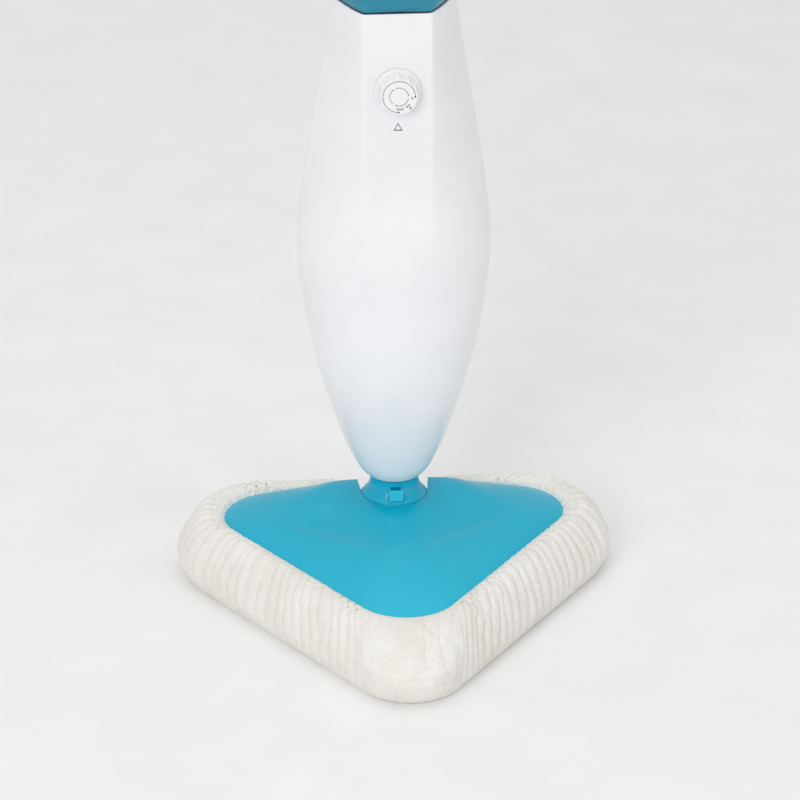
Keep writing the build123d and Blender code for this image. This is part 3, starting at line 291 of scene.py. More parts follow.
# %% Assign a finish to each piece
dressed = {
    "white_gloss": "head_base pole_coupling snap_button",
    "aqua": "tilt_ball neck_socket neck_ring tank_cap",
    "light_aqua": "release_button",
    "pole_silver": "lower_pole upper_pole",
    "cast_alloy": "boiler hinge_bracket",
    "steel": "head_screws bracket_screws shell_screws boiler_screws boiler_bracket handle_screws hook_screw "
    "tilt_pin latch_spring swivel_clip snap_spring valve_spring thermostat",
    "brass_part": "steam_elbow valve_spindle steam_valve steam_nozzle",
    "black_plastic": "pump terminal_block cord_gland",
    "grey_plastic": "tank_seat pole_socket lower_cord_hook hook_collar upper_cord_hook body_spigot tank_valve",
    "silicone": "water_hose feed_hose valve_hose steam_hose swivel_hose thermal_fuse cap_seal inlet_seal",
    "dark_rubber": "nozzle_seal swivel_seal spigot_seal",
    "elastic": "pad_elastic",
}
for finish_name, members in dressed.items():
    for member in members.split():
        nodes[member].data.materials.clear()
        nodes[member].data.materials.append(finishes[finish_name])
print(sum(len(members.split()) for members in dressed.values()), "carried-over pieces dressed")


# %% [markdown]
# ## Grids of points
# Most mouldings here are skins: rows of points joined into four-sided faces. One helper makes
# the skin, closes its ends, and gives it a finish, a body to ride on and the nodes that it
# stands for.


# %% Skins, applied modifiers and riding
def skin(name, rows, closed=True, cap_start=False, cap_end=False):
    """Joins rows of points, each an array of the same length, into one mesh."""
    rows = np.asarray(rows, float)
    levels, count = rows.shape[:2]
    steps = count if closed else count - 1
    faces = []
    for level in range(levels - 1):
        for step in range(steps):
            after = (step + 1) % count
            low, high = level * count, (level + 1) * count
            faces.append((low + step, low + after, high + after, high + step))
    points = list(map(tuple, rows.reshape(-1, 3)))
    for wanted, level in ((cap_start, 0), (cap_end, levels - 1)):
        if wanted:
            middle = len(points)
            points.append(tuple(rows[level].mean(0)))
            for step in range(count):
                edge = (level * count + step, level * count + (step + 1) % count)
                faces.append((*(edge[::-1] if level == 0 else edge), middle))
    mesh = bpy.data.meshes.new(name)
    mesh.from_pydata(points, [], faces)
    mesh.polygons.foreach_set("use_smooth", [True] * len(mesh.polygons))
    piece = bpy.data.objects.new(name, mesh)
    bpy.context.scene.collection.objects.link(piece)
    return piece


def zip_end(piece, count):
    """Closes a mirrored outline with straight strips from its right side to its left."""
    mesh = piece.data
    first = len(mesh.vertices) - count
    points = [tuple(vertex.co) for vertex in mesh.vertices]
    faces = [tuple(face.vertices) for face in mesh.polygons]
    half = count // 2
    faces.append((first, first + count - 1, first + 1))
    for step in range(1, half - 1):
        faces.append((first + step, first + count - step, first + count - step - 1, first + step + 1))
    faces.append((first + half - 1, first + half + 1, first + half))
    mesh.clear_geometry()
    mesh.from_pydata(points, [], faces)
    mesh.polygons.foreach_set("use_smooth", [True] * len(mesh.polygons))
    return piece


def modifier(piece, kind, **settings):
    made = piece.modifiers.new(kind.lower(), kind)
    for name, value in settings.items():
        setattr(made, name, value)
    return made


def settle(piece):
    """Works the piece's modifiers into its mesh."""
    graph = bpy.context.evaluated_depsgraph_get()
    graph.update()
    shaped = piece.evaluated_get(graph)
    mesh = bpy.data.meshes.new_from_object(shaped, preserve_all_data_layers=True, depsgraph=graph)
    piece.modifiers.clear()
    piece.data = mesh
    return piece


def carve(piece, *cutters, operation="DIFFERENCE"):
    """Cuts pieces away from a piece, or adds them to it, and removes the cutters."""
    for cutter in cutters:
        modifier(piece, "BOOLEAN", object=cutter, operation=operation, solver="MANIFOLD")
        settle(piece)
        bpy.data.objects.remove(cutter)
    return piece


def present(piece, finish_name, body, *stands_for, sharp=35.0):
    """Gives a finished piece its material, its body and the nodes that it stands for."""
    piece.data.materials.clear()
    piece.data.materials.append(finishes[finish_name])
    piece.data.polygons.foreach_set("material_index", [0] * len(piece.data.polygons))
    piece.data.set_sharp_from_angle(angle=math.radians(sharp))
    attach(piece, body)
    if stands_for:
        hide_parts(*stands_for)
    print(piece.name, len(piece.data.polygons), "faces")
    return piece


def tube(name, start, end, radius, count=48):
    """A closed round bar from one point to another, used as a cutter or a boss."""
    start, end = Vector(start), Vector(end)
    turn = (end - start).to_track_quat("Z", "X")
    spin = np.linspace(0, 2 * math.pi, count, endpoint=False)
    circle = [turn @ Vector((radius * math.cos(angle), radius * math.sin(angle), 0)) for angle in spin]
    rows = [[start + point for point in circle], [end + point for point in circle]]
    return skin(name, rows, cap_start=True, cap_end=True)


# %% [markdown]
# ## The body's skin
# The body is a slim bulb with one flat facet on its front. A level cut through it has five
# parts: the facet, two sides and a round back. In polar form each part is a distance from the
# neck's axis at an angle, so the skin is a function of angle and height. The facet's two
# creases are crisp at the top and melt away below the widest place: there the flat front
# gives way to an oval. A little smoothing round the angle gives the creases their radius.

# %% The body's outline as a function of height
body_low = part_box("front_shell")[0].z / mm
body_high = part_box("front_shell")[1].z / mm
body_height = body_high - body_low
facet_half = 24.0
outline_rows = np.array(
    [
        # height share, half-width, front, rear, side bulge
        (0.000, 18.8, 18.3, 18.0, 1.00),
        (0.016, 24.2, 22.3, 21.5, 1.00),
        (0.054, 32.0, 28.0, 26.5, 1.00),
        (0.135, 43.1, 36.0, 34.0, 0.95),
        (0.243, 55.0, 43.4, 41.0, 0.85),
        (0.378, 65.0, 48.2, 46.0, 0.70),
        (0.495, 69.1, 49.1, 48.0, 0.60),
        (0.638, 64.3, 45.4, 46.0, 0.45),
        (0.811, 53.8, 40.9, 41.0, 0.30),
        (1.000, 42.8, 36.0, 35.0, 0.20),
    ]
)


def smooth_step(value, low, high):
    share = np.clip((value - low) / (high - low), 0, 1)
    return share * share * (3 - 2 * share)


def body_values(height):
    """Half-width, front, rear and bulge at a height in millimetres, on a smooth curve."""
    share = np.clip((height - body_low) / body_height, 0, 1)
    knots = outline_rows[:, 0]
    here = min(int(np.searchsorted(knots, share, side="right")) - 1, len(knots) - 2)
    slopes = np.gradient(outline_rows[:, 1:], knots, axis=0)
    run = knots[here + 1] - knots[here]
    t = (share - knots[here]) / run
    below, above = outline_rows[here, 1:], outline_rows[here + 1, 1:]
    value = below * (2 * t**3 - 3 * t**2 + 1) + above * (3 * t**2 - 2 * t**3)
    return value + slopes[here] * run * (t**3 - 2 * t**2 + t) + slopes[here + 1] * run * (t**3 - t**2)


def polar_cut(angle, half_w, front, rear, bulge, crisp):
    """Distance from the axis at angles measured from the front, for one level cut."""
    sine, cosine = np.abs(np.sin(angle)), np.cos(angle)
    rear_part = 1 / np.sqrt((sine / half_w) ** 2 + (cosine / rear) ** 2)
    oval = 1 / np.sqrt((sine / half_w) ** 2 + (cosine / front) ** 2)
    facet = min(facet_half, half_w - 4)
    reach = half_w - facet
    flat = front / np.maximum(cosine, 0.02)
    line = (half_w / reach) / (sine / reach + cosine / front)
    square = sine**2 / reach**2 + cosine**2 / front**2
    lead = facet * sine / reach**2
    arc = (lead + np.sqrt(np.maximum(lead**2 - square * (facet**2 / reach**2 - 1), 0))) / square
    side = (1 - bulge) * line + bulge * arc
    sharp_front = np.where(np.abs(angle) < math.atan2(facet, front), flat, side)
    front_part = crisp * sharp_front + (1 - crisp) * oval
    return np.where(cosine > 0, front_part, rear_part)


def body_cut(height, inset=0.0, count=720):
    """One level cut as radii at evenly spaced angles, with rounded creases."""
    angle = np.linspace(-math.pi, math.pi, count, endpoint=False)
    half_w, front, rear, bulge = body_values(height)
    crisp = smooth_step(height, body_low + 0.33 * body_height, body_low + 0.66 * body_height)
    radii = polar_cut(angle, half_w - inset, front - inset, rear - inset, bulge, crisp)
    soft = 1.3 + 5.0 * (1 - crisp)
    spread = np.arange(-30, 31) * (360.0 / count)
    weights = np.exp(-0.5 * (spread / soft) ** 2)
    weights /= weights.sum()
    padded = np.concatenate([radii[-30:], radii, radii[:30]])
    return angle, np.convolve(padded, weights, mode="valid")


# %% [markdown]
# ## Front and rear shells
# The two shells meet on the plane of the body's greatest width. Each is a skin over its half
# of the angles, thickened inwards, with a small bevel on its edges, so a fine parting line
# shows where they meet. The skin turns in at the foot, above the neck's ring.

# %% Build both shells
shell_wall, parting = 2.4, 0.12
foot_curl = [(0.0, 0.90), (0.35, 0.955), (1.3, 0.985)]


def shell_rows(start_angle, end_angle, steps):
    """Rows of points over a range of angles, closer together at the foot."""
    shares = np.linspace(0, 1, 120) ** 1.5
    levels = list(foot_curl)
    levels += [(2.6 + share * (body_height - 2.6), 1.0) for share in shares]
    wanted = np.linspace(start_angle, end_angle, steps)
    rows = []
    for rise, shrink in levels:
        angle, radii = body_cut(body_low + rise)
        radius = np.interp(wanted, np.concatenate([angle, angle + 2 * math.pi]), np.tile(radii, 2)) * shrink
        height = np.full(steps, body_low + rise)
        rows.append(np.stack([radius * np.sin(wanted), -radius * np.cos(wanted), height], axis=1) * mm)
    return rows


half_turn = math.pi / 2
groove = parting / 60.0
front_shell = skin("front_casing", shell_rows(-half_turn + groove, half_turn - groove, 181), closed=False)
rear_shell = skin("rear_casing", shell_rows(half_turn + groove, 3 * half_turn - groove, 181), closed=False)
for shell in (front_shell, rear_shell):
    modifier(shell, "SOLIDIFY", thickness=shell_wall * mm, offset=-1.0)
    modifier(shell, "BEVEL", width=0.3 * mm, segments=2, limit_method="ANGLE", angle_limit=math.radians(50))
    settle(shell)

# %% [markdown]
# ## Screw wells and the cord's inlet
# The rear shell is held by six screws that sit deep in round wells, and the mains lead enters
# through a gland. The wells are cut through the wall and lined with short tubes whose outer
# ends follow the shell's surface.


# %% Cut the wells and the inlet
def rear_depth(x, z):
    """How far back the body's rear surface lies at a place, in millimetres."""
    half_w, _, rear, _ = body_values(z)
    return rear * math.sqrt(max(1 - (x / half_w) ** 2, 0.0))


def well_lining(x, z, radius, wall, floor_y):
    """A round tube from a floor to just under the rear surface."""
    spin = np.linspace(0, 2 * math.pi, 40, endpoint=False)
    rows = []
    edges = ((radius, True), (radius + wall, True), (radius + wall, False), (radius, False))
    for reach, at_surface in (*edges, edges[0]):
        xs, zs = x + reach * np.cos(spin), z + reach * np.sin(spin)
        ys = [rear_depth(a, b) - 1.2 if at_surface else floor_y for a, b in zip(xs, zs)]
        rows.append(np.stack([xs, ys, zs], axis=1) * mm)
    return skin("well", rows)


screws = nodes["shell_screws"].data
screw_points = np.array([vertex.co for vertex in screws.vertices]) / mm
screw_low = screw_points[:, 1].max() - 2.0
heads = screw_points[screw_points[:, 1] > screw_low]
gland_low, gland_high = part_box("cord_gland")
gland_centre = (gland_low + gland_high) / 2 / mm
well_places = []
for point in heads:
    if not any(abs(point[0] - x) < 8 and abs(point[2] - z) < 8 for x, z in well_places):
        near = heads[(np.abs(heads[:, 0] - point[0]) < 8) & (np.abs(heads[:, 2] - point[2]) < 8)]
        middle = (near.min(0) + near.max(0)) / 2
        well_places.append((float(middle[0]), float(middle[2])))
well_r, well_floor = 3.2, float(screw_low)
well_start, gland_start, past_rear, gland_r = 12, 20, 80, 6.2
cutters = []
for x, z in well_places:
    inner, outer = (x * mm, well_start * mm, z * mm), (x * mm, past_rear * mm, z * mm)
    cutters.append(tube("cut", inner, outer, well_r * mm))
gland_z = gland_centre.z * mm
cutters.append(tube("cut", (0, gland_start * mm, gland_z), (0, past_rear * mm, gland_z), gland_r * mm))
carve(rear_shell, *cutters)
linings = [well_lining(x, z, well_r, 1.4, well_floor) for x, z in well_places]
with bpy.context.temp_override(active_object=rear_shell, selected_editable_objects=[rear_shell, *linings]):
    bpy.ops.object.join()
present(front_shell, "white_gloss", "upright", "front_shell")
present(rear_shell, "white_gloss", "upright", "rear_shell")
print(len(well_places), "screw wells")

# %% [markdown]
# ## The knob
# The steam knob is a short dial on a thin flange, with twelve shallow finger scallops and a
# rounded face edge. It is turned about a tilted axis, so its points are worked out in the
# dial's own plane, which comes from the knob's joint, and then moved to the facet. A grid of
# angle and profile gives real scallops that fade into the flange and the face.

# %% The dial's plane
knob_axis = -Vector(joints["knob_turn"]["axis"]).normalized()
knob_origin = Vector(joints["knob_turn"]["pos_m"])
knob_up = knob_axis.cross(Vector((1, 0, 0)))
knob_frame = Matrix((Vector((1, 0, 0)), knob_up, knob_axis)).transposed()
knob_lift, knob_height, flange_r, foot_r, face_r = 0.4, 13.8, 16.3, 15.0, 13.5


def on_dial(points):
    """Points in the dial's plane, in millimetres, as places on the mop."""
    return [tuple(knob_origin + knob_frame @ (Vector(point) * mm)) for point in points]


# %% Build the knob
knob_profile = [
    # radius, height, depth of the scallops
    (2.0, knob_lift, 0.0), (flange_r - 0.3, knob_lift, 0.0), (flange_r, 0.7, 0.0), (flange_r, 2.3, 0.0),
    (flange_r - 0.3, 2.7, 0.0), (foot_r + 0.5, 2.8, 0.0), (foot_r + 0.1, 3.1, 0.2), (foot_r - 0.1, 4.0, 0.7),
    (foot_r - 0.45, 6.5, 1.0), (foot_r - 0.9, 9.5, 1.0), (face_r + 0.15, 12.2, 0.9), (face_r, 12.9, 0.8),
    (face_r - 0.25, 13.4, 0.6), (face_r - 0.7, 13.72, 0.3), (face_r - 1.3, knob_height, 0.1),
    (face_r - 2.0, knob_height, 0.0), (7.0, knob_height, 0.0), (2.0, knob_height, 0.0),
]
dial_spin = np.linspace(0, 2 * math.pi, 288, endpoint=False)
knob_rows = []
for radius, height, depth in knob_profile:
    reach = radius - depth * (1 - np.abs(np.cos(6 * dial_spin)) ** 5)
    ring = np.stack([reach * np.cos(dial_spin), reach * np.sin(dial_spin), np.full(288, height)], axis=1)
    knob_rows.append(on_dial(ring))
knob = skin("steam_dial", knob_rows, cap_start=True, cap_end=True)
present(knob, "white_gloss", "knob", "steam_knob")

# %% [markdown]
# ## The print on the knob
# The dial carries plain marks and no lettering: an arc that grows towards more steam, three
# dots with small puffs beside them, and a ring of three arrows that says it turns. Ink is
# thin but real, so each mark is a flat ribbon a tenth of a millimetre proud of the face.


# %% Print arcs, dots, arrows and puffs
def ribbon(start_deg, end_deg, radius, width, taper=0.0):
    """Rows of a flat ribbon along an arc, clockwise from 3 o'clock, seen from the front."""
    turn = -np.radians(np.linspace(start_deg, end_deg, max(8, int(abs(end_deg - start_deg) / 4))))
    share = np.linspace(0, 1, len(turn))
    half = width / 2 * (1 - taper * (1 - share))
    low, high = knob_height - 0.05, knob_height + 0.12
    rows = []
    inner, outer = radius - half, radius + half
    for reach, height in ((inner, low), (inner, high), (outer, high), (outer, low)):
        rows.append(np.stack([reach * np.cos(turn), reach * np.sin(turn), np.full(len(turn), height)], axis=1))
    return rows


def printed(outline, height=0.12):
    """A flat closed mark from points on the dial's face."""
    low = np.array([(x, y, knob_height - 0.05) for x, y in outline])
    high = low + np.array([0, 0, height + 0.05])
    return skin("mark", [on_dial(low), on_dial(high)], cap_start=True, cap_end=True)


def dot(angle_deg, radius, size, count=16):
    turn = -math.radians(angle_deg)
    spin = np.linspace(0, 2 * math.pi, count, endpoint=False)
    middle_x, middle_y = radius * math.cos(turn), radius * math.sin(turn)
    return [(middle_x + size * math.cos(a), middle_y + size * math.sin(a)) for a in spin]


def arrow(angle_deg, radius, size):
    """A small triangle that points clockwise."""
    turn = -math.radians(angle_deg)
    along = np.array([math.sin(turn), -math.cos(turn)])
    outwards = np.array([math.cos(turn), math.sin(turn)])
    middle = outwards * radius
    wing = outwards * size * 0.7
    return [tuple(middle + along * size), tuple(middle - wing), tuple(middle + wing)]


marks = []
arcs = [ribbon(90, 360, 11.2, 0.34)] + [ribbon(start, start + 92, 6.5, 0.3) for start in (10, 130, 250)]
for rows in arcs:
    marks.append(skin("mark", [on_dial(row) for row in [*rows, rows[0]]], closed=False))
for angle_deg, size in ((0, 0.62), (46, 0.62), (92, 0.62), (270, 0.3)):
    marks.append(printed(dot(angle_deg, 11.2, size)))
for start in (10, 130, 250):
    marks.append(printed(arrow(start + 96, 6.5, 1.0)))
for angle_deg, puffs in ((6, 1), (46, 2), (86, 3)):
    for puff in range(puffs):
        marks.append(printed(dot(angle_deg + (puff - (puffs - 1) / 2) * 11, 9.3, 0.5)))
        marks.append(printed(dot(angle_deg + (puff - (puffs - 1) / 2) * 11 + 4, 8.6, 0.34)))
dial_print = marks[0]
with bpy.context.temp_override(active_object=dial_print, selected_editable_objects=marks):
    bpy.ops.object.join()
dial_print.name = "dial_print"
present(dial_print, "ink", "knob")

# %% [markdown]
# ## The pointer under the knob
# A small open triangle is moulded on the facet below the dial. It is a closed loop of
# ribbon on the facet's plane. Though moulded in the white shell, it takes the dark ink finish:
# painted shade for its raised edges.

# %% Build the pointer
pointer_drop, pointer_size = 26.6, 3.3
pointer_half, pointer_foot = pointer_size * 0.95, pointer_size * 0.7
corners = [(0.0, pointer_size), (-pointer_half, -pointer_foot), (pointer_half, -pointer_foot)]
pointer_rows = []
for share, height in ((1.0, -0.3), (1.0, 0.16), (0.72, 0.16), (0.72, -0.3), (1.0, -0.3)):
    pointer_rows.append(on_dial([(x * share, y * share - pointer_drop, height) for x, y in corners]))
pointer = skin("facet_pointer", pointer_rows)
# Painted shade: the dark ink stands in for the shade along the raised edges of this moulded triangle.
present(pointer, "ink", "upright")

# %% [markdown]
# ## The head's rounded triangle
# Cover and pad share one plan shape: the hull of a nose circle and two corner circles. Drawn
# with the same number of points on each arc and side, outlines of different sizes match point
# by point, so they can be joined into a skin without a twist.

# %% The plan outline
side_angle = math.radians(55.0)
pad_side, pad_rear, nose_r, corner_r = 134.0, 58.0, 36.0, 53.0
outline_steps = (26, 150, 84, 76)


def plan(inset, rear_inset, nose, corner, steps=outline_steps):
    """Points and outward directions of the outline, from the nose round the right side."""
    nx, ny = math.sin(side_angle), -math.cos(side_angle)
    side, rear = pad_side - inset, pad_rear - rear_inset
    nose_y = (side - nose) / ny
    corner_y = rear - corner
    corner_x = (side - corner - ny * corner_y) / nx
    lean = math.atan2(ny, nx)
    turn_a = np.linspace(-math.pi / 2, lean, steps[0], endpoint=False)
    turn_b = np.linspace(lean, math.pi / 2, steps[2], endpoint=False)
    first = np.stack([nose * np.cos(turn_a), nose_y + nose * np.sin(turn_a)], axis=1)
    third = np.stack([corner_x + corner * np.cos(turn_b), corner_y + corner * np.sin(turn_b)], axis=1)
    start = np.array([nose * nx, nose_y + nose * ny])
    end = np.array([corner_x + corner * nx, corner_y + corner * ny])
    share = np.linspace(0, 1, steps[1], endpoint=False)[:, None]
    second = start + (end - start) * share
    share = np.linspace(0, 1, steps[3] + 1)[:, None]
    fourth = np.array([corner_x, rear]) + (np.array([0, rear]) - np.array([corner_x, rear])) * share
    right = np.concatenate([first, second, third, fourth])
    ways = np.concatenate([turn_a, np.full(steps[1], lean), turn_b, np.full(steps[3] + 1, math.pi / 2)])
    left = right[1:-1][::-1] * np.array([-1, 1])
    ways = np.concatenate([ways, math.pi - ways[1:-1][::-1]])
    return np.concatenate([right, left]), np.stack([np.cos(ways), np.sin(ways)], axis=1)


columns = 2 * sum(outline_steps)
print(columns, "points round the head")

# %% [markdown]
# ## The head's cover
# The cover is one aqua moulding: it rises steeply behind the pad's rim, flattens towards the
# neck, and has a broad dish in front of the neck whose edge is a soft V. Shoulders stand
# either side of the neck. The smooth base comes from the plan outline at several heights;
# the dish and the shoulders are then pushed into its points. It is cut by a slot at the rear,
# for the neck to lie back into, and by a spherical seat for the ball.


# %% Shape functions for the cover
def bump_at(x, y, cx, cy, rx, ry):
    return np.exp(-(((x - cx) / rx) ** 2) - ((y - cy) / ry) ** 2)


def cover_push(x, y):
    """How far the cover's surface is pushed up or down at a place, in millimetres."""
    lead = -y - 12
    half = np.interp(lead, [-40, 0, 22, 46, 70, 96], [96, 84, 70, 40, 15, 1])
    inside = half - np.abs(x)
    dish = smooth_step(inside, -9, 11) * smooth_step(lead, -24, 26)
    centre = smooth_step(96 - lead, 0, 60)
    neck = smooth_step(np.hypot(x, y), 24, 52)
    shoulders = bump_at(np.abs(x), y, 47, 12, 26, 34)
    return neck * (2.8 * shoulders - 2.4 * dish * centre)


cover_steps = [
    # height, side inset, rear inset, nose radius
    (7.0, 14, 14, 36), (12.0, 12.6, 12.6, 36), (22.0, 12.2, 12.2, 36), (32.0, 14.5, 13.2, 37),
    (38.0, 17, 13.5, 38),
    (42.0, 20, 14, 39), (45.0, 24, 16, 40), (48.96, 34, 21, 40), (52.7, 48, 26, 38), (56.5, 65, 31, 32),
    (60.2, 83, 34, 24), (62.8, 97, 36, 16), (64.5, 107, 38, 9),
]


def cover_solid(shrink=0.0, floor=7.0):
    """The closed solid inside the cover's skin, drawn in by a wall thickness."""
    keys = np.arange(len(cover_steps), dtype=float)
    table = np.array(cover_steps, float)
    wanted = np.concatenate([np.linspace(0, 6, 16), np.linspace(6, len(keys) - 1, 36)[1:]])
    rows = []
    for key in wanted:
        z, inset, rear_inset, nose = (np.interp(key, keys, table[:, column]) for column in range(4))
        corner = float(np.interp(inset, [12, 24, 60, 107], [40, 42, 34, 12]))
        shape = plan(inset + shrink, rear_inset + shrink, max(nose - shrink, 3), max(corner - shrink, 3))[0]
        height = np.full(len(shape), max(z - shrink, floor) if z > 40 else max(z, floor))
        rows.append(np.column_stack([shape, height]))
    middle = rows[-1].mean(0)
    rows.append(middle + (rows[-1] - middle) * 0.5)
    rows = np.array(rows)
    kernel = np.array([1, 2, 3, 2, 1]) / 9.0
    top = rows[16:].copy()
    for index in range(18, len(rows) - 3):
        rows[index] = np.tensordot(kernel, top[index - 18 : index - 13], axes=1)
    lift = cover_push(rows[..., 0], rows[..., 1]) * smooth_step(rows[..., 2], 46.0, 51.0)
    rows[..., 2] += lift
    return skin("cover_solid", rows * mm, cap_start=True, cap_end=True)


def slot_solid(wall, floor):
    """The wedge behind the neck that the cover leaves free."""
    front_half, rear_half, depth = 24.1 + wall, 31.0 + wall, pad_rear + 20
    outline = [(-front_half, 0), (front_half, 0), (rear_half, depth), (-rear_half, depth)]
    base = [(x, y, floor) for x, y in outline]
    top = [(x, y, 130.0) for x, y in outline]
    return skin("slot", np.array([base, top]) * mm, cap_start=True, cap_end=True)


def sphere(radius, z, steps=64):
    turn = np.linspace(-math.pi / 2, math.pi / 2, steps // 2 + 1)[1:-1]
    spin = np.linspace(0, 2 * math.pi, steps, endpoint=False)
    rows = []
    for lift in turn:
        reach = radius * math.cos(lift)
        rows.append([(reach * math.cos(a), reach * math.sin(a), z + radius * math.sin(lift)) for a in spin])
    return skin("sphere", np.array(rows) * mm, cap_start=True, cap_end=True)


# %% Build the cover
pivot_z, ball_r, slot_floor, cover_wall = 46.0, 30.0, 31.0, 2.4
hollow = carve(cover_solid(cover_wall, 4.0), slot_solid(cover_wall, slot_floor - cover_wall))
cover = carve(cover_solid(), slot_solid(0.0, slot_floor), hollow, sphere(ball_r + 0.4, pivot_z))
cover.name = "dome_cover"
present(cover, "aqua", "head", "head_cover", sharp=40.0)

# %% [markdown]
# ## The cloth pad, flat pattern and gathers
# The pad is a terry cap: a flat sole with a side wall that an elastic in its hem pulls in over
# the head. The wall is longer than the rim it is gathered to, so it stands in upright folds,
# ten or so millimetres apart, except across the nose, where it is pulled smooth. Folds drawn
# by a formula look combed, so the formula only sets where each fold starts. The wall is then
# given a little more cloth than it has room for, and a cloth simulation lets it buckle.

# %% The pad's rows and folds
wall_steps = [
    # height, inset from the widest outline, rear inset, freedom of the cloth
    (38.5, 24.2, 14.2, 0.0), (42.5, 24.3, 14.2, 0.05), (45.6, 22.8, 13.2, 0.3), (46.9, 20.3, 11.3, 0.6),
    (46.6, 17.2, 9.0, 0.9), (44.6, 13.6, 7.2, 1.0), (41.0, 10.2, 5.6, 1.0), (36.0, 7.0, 3.9, 1.0),
    (30.0, 4.2, 2.4, 1.0), (24.0, 1.9, 1.2, 1.0), (18.0, 0.9, 0.9, 0.9), (12.5, 1.2, 1.2, 0.6),
    (8.0, 2.3, 2.3, 0.25), (4.0, 3.7, 3.7, 0.05), (1.4, 5.6, 5.6, 0.0), (0.3, 8.4, 8.4, 0.0),
]
wall_table = np.array(wall_steps)
wall_keys = np.arange(len(wall_table), dtype=float)
fine_keys = np.linspace(0, len(wall_table) - 1, 46)
base_outline = plan(0, 0, nose_r, corner_r)[0]
gaps = np.linalg.norm(np.roll(base_outline, -1, axis=0) - base_outline, axis=1)
run = np.concatenate([[0], np.cumsum(gaps)[:-1]])
girth = gaps.sum()


def round_noise(knots, seed, low, high):
    """Slow random values round the outline, the same each run."""
    values = np.random.default_rng(seed).uniform(low, high, knots)
    places = np.linspace(0, girth, knots, endpoint=False)
    return np.interp(run, np.append(places, girth), np.append(values, values[0]))


nose_run = np.minimum(run, girth - run)
fold_strength = 0.12 + 0.88 * smooth_step(nose_run, 26, 62)
fold_strength *= 1 - 0.35 * smooth_step(nose_run, 300, 380)
fold_strength *= round_noise(60, 3, 0.65, 1.15)
spacing = round_noise(90, 5, 7.6, 12.6)
phase = np.cumsum(gaps / spacing)
phase *= round(phase[-1]) / phase[-1]
fine_phase = np.cumsum(gaps / round_noise(120, 6, 4.2, 6.6))
fine_phase *= round(fine_phase[-1]) / fine_phase[-1]
sway = [round_noise(70, seed, -0.28, 0.28) for seed in (21, 22, 23)]
pad_rows = []
freedom = []
drop = 0.0
from_rim = []
before = None
for key in fine_keys:
    z, inset, rear_inset, free = (np.interp(key, wall_keys, wall_table[:, column]) for column in range(4))
    rim_share = 1 - key / (len(wall_table) - 1)
    shape, ways = plan(inset, rear_inset, nose_r + 0.17 * inset, corner_r - inset * 0.45)
    lean = smooth_step(rim_share, 0.0, 1.0)
    shift = sway[0] * math.sin(3.0 * lean) + sway[1] * math.sin(6.3 * lean) * 0.7 + sway[2] * lean
    fold = np.abs(np.sin(math.pi * (phase + shift))) ** 0.62 - 0.62
    ripple = np.abs(np.sin(math.pi * (fine_phase + shift * 0.5))) ** 0.7 - 0.6
    body = smooth_step(z, 3.0, 15.0) * (1 - 0.25 * smooth_step(z, 36, 46))
    rim = smooth_step(z, 34, 45)
    push = fold_strength * (4.6 * fold * body + 1.5 * ripple * rim) * (0.25 + 0.75 * min(1.0, free * 1.6))
    shape = shape + ways * push[:, None]
    height = z + 0.5 * push * rim
    pad_rows.append(np.column_stack([shape, height]))
    freedom.append(np.full(columns, free))
    if before is not None:
        drop += math.dist(before, (z, inset))
    before = (z, inset)
    from_rim.append(np.full(columns, drop))
wall_count = len(pad_rows)
slot_half, slot_rim, wall_peak = 34.0, 33.5, 47.0
pad_rows = np.array(pad_rows)
beside_slot = smooth_step(np.abs(pad_rows[..., 0]), slot_half, slot_half + 9)
behind = smooth_step(pad_rows[..., 1], 20, 40) * (1 - beside_slot)
pad_rows[..., 2] *= 1 - behind * (1 - slot_rim / wall_peak)

# %% [markdown]
# ## The sole
# Under the head the pad is a flat sheet. Its rows close in on a line along the middle, like
# the rings of a contour map. It lies on the floor, so it is level.

# %% Add the sole
sole_start, sole_end, sole_rear_end, sole_z = wall_steps[-1][1], 94.0, 40.0, 0.12
sole_rows = []
for share in np.linspace(0.06, 1.0, 22):
    inset = sole_start + (sole_end - sole_start) * share
    rear_inset = sole_start + (sole_rear_end - sole_start) * share
    shape = plan(inset, rear_inset, max(37.4 * (1 - share), 1.5), max((corner_r - 3.8) * (1 - share), 1.5))[0]
    sole_rows.append(np.column_stack([shape, np.full(columns, sole_z)]))
    freedom.append(np.zeros(columns))
    from_rim.append(np.full(columns, drop + inset - sole_start))
pad_rows = np.concatenate([pad_rows, np.array(sole_rows)])
pad = zip_end(skin("terry_pad", pad_rows * mm), columns)
rim_run = np.concatenate(from_rim) * mm
pad.data.attributes.new("from_rim", "FLOAT", "POINT").data.foreach_set("value", rim_run.astype(np.float32))
print(wall_count, "rows in the wall,", len(pad.data.vertices), "points in the pad")

# %% [markdown]
# ## Let the cloth buckle
# The simulation's cloth wants to be five percent larger than it is, is held at the sole and
# at the elastic, and has no gravity. It has nowhere to go but into folds. No point may move
# more than a few millimetres, which keeps the result inside the space that the pad has.


